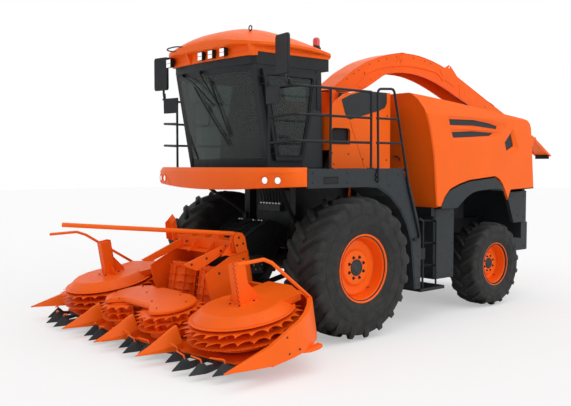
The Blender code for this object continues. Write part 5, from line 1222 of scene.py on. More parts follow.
# Cab inside: wheel, column, seat, console
def addSeat():
    seatTop = 2.80
    cells = {"across": 21, "along": 21}

    def pad(half, depth, thick, crown, piping):
        # A stuffed panel: flat below, crowned above, with two sewn channels
        points, faces = [], []
        n, m = cells["across"], cells["along"]
        for layer in (0, 1):
            for j in range(m):
                for i in range(n):
                    u, v = -1 + 2 * i / (n - 1), -1 + 2 * j / (m - 1)
                    x = half * math.copysign(abs(u) ** 0.9, u)
                    y = depth * math.copysign(abs(v) ** 0.9, v)
                    edge = (1 - abs(u) ** 5) * (1 - abs(v) ** 5)
                    if layer:
                        seam = sum(math.exp(-((u - s) / 0.07) ** 2) for s in (-0.55, 0.55)) * piping
                        swell = thick * 0.55 + crown * (1 - u * u) * (1 - v * v)
                        z = thick * 0.45 + swell * edge - seam * edge
                    else:
                        z = thick * 0.40 - thick * 0.40 * edge
                    points.append((x, y, z))
        count = n * m
        for j in range(m - 1):
            for i in range(n - 1):
                a = j * n + i
                faces.append([a, a + n, a + n + 1, a + 1])
                faces.append([count + a, count + a + 1, count + a + n + 1, count + a + n])
        rim = list(range(n)) + [j * n + n - 1 for j in range(1, m)] + [(m - 1) * n + i
            for i in range(n - 2, -1, -1)]
        rim += [j * n for j in range(m - 2, 0, -1)]
        for a, b in zip(rim, rim[1:] + rim[:1]):
            faces.append([a, b, count + b, count + a])
        return points, faces
    cushion = shifted(pad(0.235, 0.215, 0.10, 0.022, 0.012), 0, -0.375, seatTop - 0.09)
    back = placed(pad(0.215, 0.27, 0.085, 0.018, 0.010), turned((0, -0.135, 3.07), -82,
        "X") @ Matrix.Rotation(math.pi, 4, "Z"))
    head = placed(pad(0.12, 0.07, 0.06, 0.010, 0.0), turned((0, -0.11, 3.385), -84,
        "X") @ Matrix.Rotation(math.pi, 4, "Z"))
    soft = addPiece("seatCushions", together(cushion, back, head), "seatCloth", replaces=("seat",))
    sub = soft.modifiers.new("round", "SUBSURF")
    sub.levels = sub.render_levels = 1
    base = together(block((-0.15, 0.15), (-0.52, -0.22), (cabFloor, 2.30)), slab([(-0.12, 2.30), (0.12, 2.30),
        (0.17, 2.68), (-0.17, 2.68)], "y", -0.50, -0.24), block((-0.21, 0.21), (-0.58, -0.17), (2.66, 2.708)),
        block((-0.19, 0.19), (-0.128, -0.108), (2.80, 3.32)))
    addPiece("seatBase", base, "cabTrim", bevel=0.008)
    bellows = together(*[block((-0.145 - 0.012 * (i % 2), 0.145 + 0.012 * (i % 2)), (-0.51, -0.23),
        (2.32 + i * 0.035, 2.35 + i * 0.035)) for i in range(9)])
    addPiece("seatBellows", bellows, "hoseRubber", bevel=0.004)
    arms = together(*[tube([(s * 0.27, -0.16, 2.86), (s * 0.27, -0.18, 3.00), (s * 0.27, -0.50, 3.00)], 0.028,
        0.05) for s in (1, -1)])
    addPiece("seatArms", arms, "cabTrim")


def addCabInside():
    hub = turned((0, -0.738, 2.97), 28, "X")
    ring = spun([(0.186 + 0.014 * math.cos(a), 0.014 * math.sin(a)) for a in turns(10)], sides=48,
        closed=True)
    spokes = [placed(swept([(0.03, 0, -0.004), (0.10, 0, -0.010), (0.178, 0, 0.0)], strip(0.016, 0.004)),
        Matrix.Rotation(a, 4, "Z")) for a in (math.radians(10), math.radians(170), math.radians(270))]
    boss = disc(0.045, -0.022, 0.012, sides=32, edge=0.008)
    addPiece("steeringWheel", placed(together(ring, boss, *spokes), hub), "cabTrim", bevel=0.002,
        replaces=("steering_column",))
    column = together(tube([(0, -0.86, 2.30), (0, -0.825, 2.52), (0, -0.748, 2.945)], 0.036, 0.1, 16),
        loft([[(-0.12, -0.93, cabFloor), (0.12, -0.93, cabFloor), (0.12, -0.76, cabFloor),
        (-0.12, -0.76, cabFloor)], [(-0.11, -0.925, 2.50), (0.11, -0.925, 2.50), (0.09, -0.80, 2.50),
        (-0.09, -0.80, 2.50)], [(-0.06, -0.90, 2.60), (0.06, -0.90, 2.60), (0.05, -0.82, 2.60),
        (-0.05, -0.82, 2.60)]]))
    addPiece("steeringColumn", column, "cabTrim", bevel=0.006)
    console = loft([[(0.33, -0.72, cabFloor), (0.50, -0.72, cabFloor), (0.50, -0.10, cabFloor),
        (0.33, -0.10, cabFloor)], [(0.34, -0.70, 2.66), (0.50, -0.70, 2.66), (0.50, -0.10, 2.80),
        (0.34, -0.10, 2.80)], [(0.35, -0.62, 2.80), (0.49, -0.62, 2.80), (0.49, -0.12, 2.92),
        (0.35, -0.12, 2.92)]])
    addPiece("sideConsole", mirrored(console), "cabTrim", bevel=0.012)
    lever = together(tube([(-0.42, -0.52, 2.82), (-0.42, -0.54, 2.93), (-0.42, -0.535, 3.00)], 0.010, 0.03),
        spun([(0.010, 2.98), (0.026, 3.00), (0.030, 3.04), (0.022, 3.075), (0.004, 3.085)],
        centre=(-0.42, -0.535, 0), sides=20))
    addPiece("driveLever", lever, "hoseRubber")
    screen = placed(slab(strip(0.13, 0.09), "y", -0.018, 0.018), turned((-0.52, -0.86, 3.02), -30, "Z"))
    stand = tube([(-0.52, -0.86, 2.94), (-0.60, -0.84, 2.80), (-0.72, -0.86, 2.80)], 0.012, 0.04)
    addPiece("monitor", together(screen, stand), "cabTrim", bevel=0.005)
    mat = block((-0.78, 0.78), (-0.93, -0.12), (cabFloor, 2.2766))
    ribs = together(*[block((-0.77 + i * 0.055, -0.745 + i * 0.055), (-0.92, -0.13), (2.2766, 2.2796))
        for i in range(28)])
    addPiece("floorMat", together(mat, ribs), "hoseRubber", bevel=0.002)
    blind = tube([(-0.70, -1.14, 3.40), (0.70, -1.14, 3.40)], 0.028, sides=16)
    addPiece("sunBlind", blind, "cabTrim")


# Pillars, seals and the handle over the cab frame
def addCabTrim():
    outline = [(-0.855, 2.33), (-1.065, 3.42), (-0.20, 3.42), (-0.29, 2.87), (-0.42, 2.33)]
    loop = [(0.9294, y, z) for y, z in outline]
    middle = Vector((0, sum(p[1] for p in loop) / 5, sum(p[2] for p in loop) / 5))
    inner = [Vector((0.9294, *(middle + (Vector(p) - middle) * 0.93).yz)) for p in loop]
    addPiece("doorSeal", tube([*inner, inner[0]], 0.007, 0.05, 8), "hoseRubber", "door")
    handle = together(tube([(0.9288, -0.79, 2.62), (0.965, -0.79, 2.60), (0.965, -0.70, 2.60),
        (0.9288, -0.70, 2.62)], 0.008, 0.02), disc(0.018, 0.9262, 0.934, "x", (0, -0.67, 2.60), 20, 0.002))
    addPiece("doorHandle", handle, "blackSteel", "door")
    panel = slab([(-0.40, 2.215), (-0.045, 2.215), (-0.035, 2.60), (-0.055, 2.97), (-0.275, 2.985),
        (-0.315, 2.80)], "x", 0.8806, 0.886)
    addPair("cornerPanels", panel, "greyCoat", bevel=0.003)
    pillar = swept([(0.884, -0.10, 2.97), (0.884, -0.115, 3.50)], strip(0.004, 0.03))
    addPair("rearPillars", pillar, "blackCoat", bevel=0.002)
    front = swept([(0.80, -0.965, 2.34), (0.80, -1.185, 3.49)], strip(0.035, 0.006))
    addPair("frontPillarCovers", front, "blackCoat", bevel=0.003)
    rim = [(0.62, 2.90), (0.62, 3.36), (-0.62, 3.36), (-0.62, 2.90)]
    seal = tube([(x, -0.026, z) for x, z in rim + rim[:1]], 0.008, 0.05, 8)
    addPiece("rearSeal", seal, "hoseRubber")


addBeam()
addRoof()
addWipers()
addRails()
addSeat()
addCabInside()
addCabTrim()
print("cab built")


# Hood: front fold, chamfered shoulders, louvre recesses and the rear mesh window
def addHood():
    hood = {"half": 1.40, "shoulder": 2.98, "lean": 0.381}
    half, shoulder = hood["half"], hood["shoulder"]
    spine = [(1.80, 1.63), (1.765, 2.00), (1.72, 2.40), (1.62, 2.80), (1.50, 3.07), (1.42, 3.19),
        (1.31, 3.262), (1.26, 3.268), (1.60, 3.245), (2.40, 3.175), (3.30, 3.085), (4.05, 3.008),
        (4.16, 2.985), (4.235, 2.935), (4.275, 2.86), (4.33, 2.35), (4.38, 1.86)]
    arch = [(3.70, 1.84), (3.655, 1.77), (3.62, 1.69), (3.55, 1.81), (3.47, 1.93), (3.38, 2.01), (3.25, 2.06),
        (2.92, 2.035), (2.58, 2.01), (2.32, 1.955), (2.09, 1.88), (1.96, 1.76), (1.88, 1.63)]
    # The turret turns in a round well, so the sheet keeps clear of it above the well's floor
    well = {"radius": 0.66, "y": turretY, "floor": 2.94}
    start = (1.558, well["floor"])
    lower, upper = spine[:4] + [start], [start]
    for a, b in zip([start] + spine[4:], spine[4:]):
        steps = 1 if min(a[0], b[0]) > 2.0 else 6
        upper += [(a[0] + (b[0] - a[0]) * k / steps, a[1] + (b[1] - a[1]) * k / steps)
            for k in range(1, steps + 1)]
    sheets = []
    for path in (lower, upper):
        rows = []
        for y, z in path:
            away = abs(y - well["y"])
            inWell = path is upper and away < well["radius"]
            gap = math.sqrt(well["radius"] ** 2 - away ** 2) if inWell else 0.0
            rows += [(gap, y, z), (half - max(0.0, z - shoulder) * hood["lean"], y, z)]
        sheets.append((rows, [[2 * i, 2 * i + 1, 2 * i + 3, 2 * i + 2] for i in range(len(path) - 1)]))
    wall = []
    for turn in range(24, 91, 3):
        angle = math.radians(turn)
        x, y = well["radius"] * math.cos(angle), well["y"] + well["radius"] * math.sin(angle)
        foot = well["floor"]
        for a, b in zip(spine[3:8], spine[4:8]):
            if b[0] <= y <= a[0]:
                foot = max(foot, a[1] + (b[1] - a[1]) * (y - a[0]) / (b[0] - a[0]))
        wall += [(x, y, foot), (x, y, 3.268 - (y - 1.26) * 0.0677)]
    sheets.append((wall, [[2 * i, 2 * i + 2, 2 * i + 3, 2 * i + 1] for i in range(len(wall) // 2 - 1)]))
    deckEdge = [(well["radius"] * math.cos(math.radians(a)), well["y"]
        + well["radius"] * math.sin(math.radians(a))) for a in range(16, 91, 4)]
    sheets.append(([(0.0, 1.2306, well["floor"])] + [(a, max(b, 1.2306), well["floor"]) for a, b in deckEdge],
        [[0, i, i + 1] for i in range(1, len(deckEdge))]))

    def cross(a, b):
        share = (shoulder - a[1]) / (b[1] - a[1])
        return (a[0] + (b[0] - a[0]) * share, shoulder)
    first = cross(spine[3], spine[4])
    last = cross(spine[12], spine[13])
    above = [p for p in spine if p[1] > shoulder]
    rim = [first, *above, last]
    sloped = [(half - (z - shoulder) * hood["lean"], y, z) for y, z in rim]
    chamfer = (sloped, [list(range(len(sloped)))])
    outline = [*spine[:4], first, last, *spine[13:], *arch]
    panel = [(2.03, 2.975), (2.45, 2.978), (2.86, 2.972), (3.20, 2.945), (3.57, 2.895), (3.53, 2.83),
        (3.45, 2.775), (3.36, 2.69), (2.79, 2.625), (2.17, 2.61), (2.08, 2.80)]
    slotTop = [(2.06, 2.925), (2.70, 2.935), (3.10, 2.90), (3.32, 2.862), (3.30, 2.815), (2.68, 2.848),
        (2.085, 2.838)]
    slotLow = [(2.12, 2.735), (2.66, 2.765), (3.21, 2.752), (3.12, 2.705), (2.67, 2.678), (2.16, 2.652)]
    ledge = [(2.10, 2.800), (2.68, 2.818), (3.26, 2.798), (3.40, 2.790), (3.26, 2.784), (2.68, 2.800),
        (2.11, 2.784)]
    frameLip = [(3.505, 2.61), (3.745, 2.845), (3.86, 2.62), (3.915, 2.51), (3.83, 2.41), (3.59, 2.375)]
    window = [(3.545, 2.605), (3.725, 2.765), (3.79, 2.60), (3.80, 2.555), (3.60, 2.475)]
    side = tessellate_polygon([[Vector((a, b, 0)) for a, b in loop] for loop in (outline, panel, frameLip)])
    flat = [(half, a, b) for loop in (outline, panel, frameLip) for a, b in loop]
    skin = (flat, [list(t) for t in side])
    recess = stepped(panel, half, [(slotTop, 0.030, False), (slotLow, 0.030, False), (ledge, 0.001, True)])
    porthole = stepped(frameLip, half, [(window, 0.034, False)])
    lips = []
    for loop, deep in ((slotTop, 0.030), (slotLow, 0.030), (window, 0.034)):
        ring = [(half - deep, a, b) for a, b in loop] + [(half - deep - 0.012, a, b) for a, b in loop]
        n = len(loop)
        lips.append((ring, [[i, (i + 1) % n, n + (i + 1) % n, n + i] for i in range(n)]))
    edge = [spine[-1], *arch, spine[0]]
    hem = loft([[(half, y, z), (half - 0.028, y, z), (half - 0.028, y, z + 0.016), (half, y, z + 0.0161)]
        for y, z in edge])
    addPiece("hood", together(bothSides(*sheets, chamfer, skin, recess, porthole, *lips)), "orangeEnamel",
        replaces=("hood",), angle=22)
    addPair("hoodHem", hem, "orangeEnamel")
    frontHem = loft([[(x, 1.80, 1.63), (x, 1.828, 1.63), (x, 1.828, 1.646), (x, 1.80, 1.6461)]
        for x in (-1.37, 1.37)])
    rearHem = loft([[(x, 4.38, 1.86), (x, 4.352, 1.86), (x, 4.352, 1.876), (x, 4.38, 1.8761)]
        for x in (-1.37, 1.37)])
    addPiece("hoodSeams", together(frontHem, rearHem), "orangeEnamel")
    meshes = []
    for loop, deep in ((slotTop, 0.040), (slotLow, 0.040), (window, 0.044)):
        a0, b0 = sum(p[0] for p in loop) / len(loop), sum(p[1] for p in loop) / len(loop)
        grown = [(a0 + (a - a0) * 1.02, b0 + (b - b0) * 1.06) for a, b in loop]
        meshes.append(slab(grown, "x", half - deep - 0.003, half - deep))
    addPair("louvreMesh", together(*meshes), "grilleMesh")
    inner = [(1.86, 1.66), (1.80, 2.36), (1.60, 2.98), (1.50, 3.10), (4.06, 2.90), (4.18, 2.80), (4.28, 1.90),
        (3.72, 1.88), (3.62, 1.75), (3.48, 1.98), (3.25, 2.10), (2.58, 2.05), (2.09, 1.92), (1.93, 1.69)]
    addPair("hoodLining", slab(inner, "x", 1.30, 1.335), "hoseRubber")
    # Fold between the front and the side, hinge covers and the catch of the service door
    fold = swept(spline([(1.384, 1.792, 1.66), (1.384, 1.757, 2.0), (1.384, 1.712, 2.40),
        (1.384, 1.612, 2.80), (1.38, 1.512, 3.03)], 4), ringOf(0, 0, 0.011, 8))
    addPair("hoodFold", fold, "orangeEnamel")
    latch = together(tube([(0.62, 1.585, 2.37), (0.66, 1.565, 2.385), (0.73, 1.562, 2.36),
        (0.755, 1.58, 2.31)], 0.009, 0.02), disc(0.022, 1.70, 1.722, "y", (0.62, 0, 2.37), 20, 0.003))
    addPiece("hoodCatch", shifted(latch, 0.0, 0.145, 0.0), "blackSteel")
    caps = [placed(loft([[(-0.07, -0.02, 0), (0.07, -0.02, 0), (0.07, 0.02, 0), (-0.07, 0.02, 0)],
        [(-0.055, -0.012, 0.030), (0.055, -0.012, 0.030), (0.055, 0.012, 0.030), (-0.055, 0.012, 0.030)]]),
        Matrix.Translation((x, y, 3.268 - (y - 1.26) * 0.0935))) for x, y in ((0.62, 1.42), (-0.62, 1.42),
        (0.75, 2.15), (-0.75, 2.15))]
    addPiece("hoodHinges", together(*caps), "blackSteel", bevel=0.006)


def addArches():
    arch = [(1.90, 1.605), (1.893, 1.625), (1.96, 1.748), (2.094, 1.871), (2.33, 1.945), (2.582, 2.003),
        (2.92, 2.028), (3.247, 2.053), (3.37, 2.004), (3.463, 1.925), (3.51, 1.855), (3.48, 1.835),
        (3.41, 1.866), (3.20, 1.872), (3.01, 1.862), (2.82, 1.852), (2.66, 1.822), (2.53, 1.765),
        (2.41, 1.69), (2.29, 1.605)]
    addPair("archLips", slab(arch, "x", 1.18, 1.396), "greyCoat", bevel=0.012)
    tank = slab([(0.461, 1.87), (1.268, 1.87), (1.298, 1.90), (1.298, 2.33), (0.461, 2.33)], "z", 0.56, 1.60)
    addPair("sideTank", tank, "greyCoat", bevel=0.004, replaces=("side_tank",))
    seam = together(*[block((1.2984, 1.3004), (1.915, 2.32), (z, z + 0.004)) for z in (0.60, 1.56)],
        bolts([(1.298, y, z) for y in (1.94, 2.29) for z in (0.66, 1.08, 1.50)], (1, 0, 0), 0.008),
        disc(0.045, 1.60, 1.625, "z", (0.85, 2.10, 0), 28, 0.006))
    addPair("tankBolts", seam, "blackSteel")


def addRearEnd():
    plate = slab([(3.76, 1.80), (4.36, 1.82), (4.36, 1.30), (3.98, 1.30)], "x", 1.22, 1.28)
    fold = together(swept([(1.28, 3.775, 1.80), (1.28, 3.985, 1.31)], strip(0.006, 0.014)),
        block((1.20, 1.28), (3.98, 4.36), (1.296, 1.304)))
    cross = block((-1.25, 1.25), (4.262, 4.36), (1.02, 1.857))
    tail = together(block((-1.0, 1.0), (4.32, 4.835), (0.785, 1.245)), block((-1.0, 1.0), (4.32, 4.85),
        (1.245, 1.26)), block((-1.0, 1.0), (4.32, 4.85), (0.77, 0.785)))
    ends = together(*[block((s - 0.006 if s > 0 else s, s if s > 0 else s + 0.006), (4.34, 4.85),
        (0.78, 1.25)) for s in (-1.006, 1.006)])
    ribs = together(*[block((x - 0.006, x + 0.006), (4.835, 4.849), (0.785, 1.245))
        for x in (-0.66, -0.33, 0.33, 0.66)])
    addPiece("rearFrame", together(cross, tail, ribs, bothSides(plate, fold)), "greyCoat", bevel=0.004,
        replaces=("rear_frame",))
    addPiece("tailEnds", ends, "greyCoat", bevel=0.002)
    ring = spun([(0.040 + 0.009 * math.cos(a), 0.004 + 0.006 * math.sin(a)) for a in turns(8)], "x",
        (1.006, 4.55, 1.04), 32, closed=True)
    addPair("tieRings", ring, "zincSteel")
    holes = together(bolts([(1.006, y, z) for y, z in ((4.39, 1.19), (4.40, 1.12), (4.78, 1.19), (4.78, 0.84),
        (4.40, 0.84))], (1, 0, 0), 0.009), bolts([(1.28, y, z) for y, z in ((4.28, 1.74), (4.10, 1.42),
        (3.88, 1.74), (4.29, 1.38))], (1, 0, 0), 0.008))
    addPair("rearBolts", holes, "blackSteel")
    lamp = block((0.72, 0.96), (4.8352, 4.849), (1.02, 1.13))
    addPair("tailLamps", lamp, "redLens", bevel=0.003)
    addPair("tailIndicators", block((0.50, 0.64), (4.8352, 4.849), (1.02, 1.13)), "amberLens", bevel=0.003)
    addPiece("blankPlate", block((-0.26, 0.26), (4.8352, 4.842), (0.94, 1.06)), "zincSteel", bevel=0.002)
    hitch = together(block((-0.09, 0.09), (4.70, 4.849), (0.70, 0.77)), disc(0.022, 0.66, 0.80, "z",
        (0, 4.80, 0), 20, 0.003))
    addPiece("towBracket", hitch, "castBlack", bevel=0.005)
    louvres = []
    for i in range(12):
        z = 1.98 + 0.062 * i
        y = 4.3335 - (z - 2.34) * 0.102
        louvres.append(slab([(y + 0.012, z - 0.020), (y + 0.030, z - 0.004), (y + 0.010, z + 0.012)], "x",
            -0.85, 0.85))
    addPiece("rearLouvres", together(*louvres), "blackCoat")


# Service housing between cab and hood
def addHousing():
    housing = {"half": 0.98, "sheet": 0.03}
    half = housing["half"]
    outline = [(0.03, deckTop), (0.03, 3.02), (0.16, 3.13), (0.30, 3.215), (0.55, 3.262), (0.85, 3.28),
        (1.23, 3.28), (1.23, deckTop)]
    window = [(0.055, 2.535), (0.395, 2.535), (0.395, 2.715), (0.378, 2.738), (0.355, 2.745), (0.095, 2.745),
        (0.070, 2.738), (0.055, 2.715)]
    side = pierced(outline, [window], "x", half - housing["sheet"], half)
    deck = pierced([(-0.949, 0.032), (0.949, 0.032), (0.949, 1.228), (-0.949, 1.228)],
        [ringOf(0, turretY, 0.235, 40)], "z", 2.91, 2.94)
    front = block((-0.949, 0.949), (0.031, 0.058), (2.45, 2.925))
    addPiece("serviceHousing", together(deck, front, bothSides(side)), "orangeEnamel", bevel=0.006,
        replaces=("service_housing",))
    # A dark sheet behind the window opening: painted shade of the housing's inside
    windowShade = block((0.90, 0.940), (0.045, 0.41), (2.52, 2.76))
    addPair("windowShadeSheet", windowShade, "hoseRubber")
    frame = tube([(0.982, a, b) for a, b in window] + [(0.982, *window[0])], 0.005, sides=8)
    addPair("windowSeal", frame, "hoseRubber")
    swoosh = [(0.235, 3.135), (0.40, 3.205), (0.58, 3.252), (0.85, 3.276), (1.15, 3.278), (1.152, 3.13),
        (1.11, 3.065), (1.00, 3.02), (0.40, 2.868), (0.345, 2.885), (0.30, 2.955)]
    addPair("swooshPlates", slab(swoosh, "x", 0.9802, 0.9842), "greyCoat", bevel=0.0015)
    dashes = []
    start, end = Vector((half, 0.395, 2.855)), Vector((half, 0.685, 2.225))
    run = end - start
    for i in range(24):
        a, b = start + run * (i / 24), start + run * ((i + 0.55) / 24)
        dashes.append(swept([a, b], strip(0.0022, 0.0012)))
    addPair("panelStitches", together(*dashes), "blackSteel")
    groove = swept([start, end], strip(0.0045, 0.0006))
    addPair("panelSeam", groove, "orangeWorking")
    addPair("panelBolts", bolts([(half, y, z) for y, z in ((0.44, 2.56), (0.06, 2.41), (0.37, 2.40),
        (0.08, 2.90), (0.09, 2.26), (0.66, 2.33), (1.15, 2.32), (1.16, 2.95))], (1, 0, 0), 0.009),
        "blackSteel")


# Deck, skirts and boarding step
def addDeckDetails():
    top = [(-1.50, 0.138), (-1.50, -0.925), (-1.38, -1.06), (-1.06, -1.17), (-0.60, -1.255), (0, -1.295)]
    plan = top + [(-x, y) for x, y in reversed(top[:-1])]
    addPiece("deckPlate", slab([(x * 0.985, y + 0.012) for x, y in plan], "z", 2.2002, 2.2005), "treadPlate")
    addPair("walkPlate", block((1.0, 1.50), (0.14, 0.965), (2.2002, 2.2042)), "treadPlate", bevel=0.001)
    # Dark plates in the skirt's slots: painted shade of the openings
    slot = block((skirtX + 0.0002, skirtX + 0.0012), (-0.605, -0.375), (2.025, 2.095))
    addPair("skirtSlotShades", slot, "hoseRubber")
    corners = [(-0.612, 2.018), (-0.368, 2.018), (-0.368, 2.102), (-0.612, 2.102), (-0.612, 2.018)]
    slotRim = tube([(skirtX + 0.0012, y, z) for y, z in corners], 0.004, sides=6)
    addPair("slotRims", slotRim, "blackCoat")
    places = [(skirtX, y, z) for y, z in ((-0.80, 2.15), (-0.20, 2.15), (0.35, 2.15), (0.78, 2.12),
        (-0.80, 2.03), (-0.20, 2.03), (0.60, 1.98), (0.98, 1.88), (1.10, 1.62), (1.22, 1.30), (1.22, 0.98),
        (1.22, 0.68), (1.235, 0.58))]
    addPair("skirtBolts", bolts(places, (1, 0, 0), 0.008), "blackSteel")
    seam = together(block((skirtX, skirtX + 0.0006), (0.548, 0.551), (1.96, 2.199)),
        block((skirtX, skirtX + 0.0006), (1.08, 1.27), (1.3485, 1.3515)))
    addPair("skirtSeams", seam, "hoseRubber")
    bead = [(0.40, 1.955), (0.62, 1.835), (0.82, 1.662), (0.98, 1.45), (1.075, 1.20), (1.11, 0.925),
        (1.165, 0.60), (1.172, 0.524)]
    edge = tube([(skirtX - 0.008, y, z) for y, z in bead], 0.007, sides=8)
    addPair("archBeads", edge, "greyCoat")


def addBoarding():
    step = {"x": (1.02, 1.50), "y": (1.30, 1.84), "z": 0.462}
    (x0, x1), (y0, y1), z0 = step["x"], step["y"], step["z"]
    bars = [block((x0, x1), (y0 - 0.004, y0), (z0, z0 + 0.045)), block((x0, x1), (y1, y1 + 0.004),
        (z0, z0 + 0.045)), block((x0 - 0.004, x0), (y0, y1), (z0, z0 + 0.045)),
        block((x1, x1 + 0.004), (y0, y1), (z0, z0 + 0.045))]
    n = 9
    for i in range(n):
        a = y0 + (y1 - y0) * i / n
        b = a + (y1 - y0) / n
        for s in (0, 1):
            bars.append(swept([(x0, a if s else b, z0 + 0.036), ((x0 + x1) / 2, b if s else a, z0 + 0.036),
                (x1, a if s else b, z0 + 0.036)], strip(0.0035, 0.009)))
    for k in range(7):
        a = x0 + (x1 - x0) * (k + 0.5) / 7
        bars.append(block((a - 0.003, a + 0.003), (y0, y1), (z0 + 0.024, z0 + 0.040)))
    addPiece("stepGrating", together(*bars), "blackCoat", replaces=("boarding_ladder",))
    frame = together(tube([(1.14, 1.39, 0.47), (1.14, 1.39, 1.46), (1.14, 1.30, 1.50)], 0.016, 0.05),
        tube([(1.46, 1.39, 0.47), (1.46, 1.39, 1.46), (1.46, 1.30, 1.50)], 0.016, 0.05),
        tube([(1.14, 1.69, 0.47), (1.14, 1.69, 1.46)], 0.014), tube([(1.46, 1.69, 0.47), (1.46, 1.69, 1.46)],
        0.014), block((1.455, 1.489), (1.22, 1.41), (0.92, 1.08)))
    addPiece("stepFrame", frame, "blackCoat", bevel=0.001)
    rungs = []
    for z in (0.79, 1.11, 1.43):
        rungs.append(block((1.145, 1.455), (1.40, 1.405), (z, z + 0.03)))
        rungs.append(block((1.145, 1.455), (1.675, 1.68), (z, z + 0.03)))
        rungs += [block((1.15 + i * 0.0305, 1.153 + i * 0.0305), (1.405, 1.675), (z + 0.008, z + 0.03))
            for i in range(10)]
        rungs += [block((1.145, 1.455), (y, y + 0.004), (z + 0.010, z + 0.024))
            for y in (1.45, 1.50, 1.55, 1.60, 1.64)]
    addPiece("stepRungs", together(*rungs), "blackCoat")


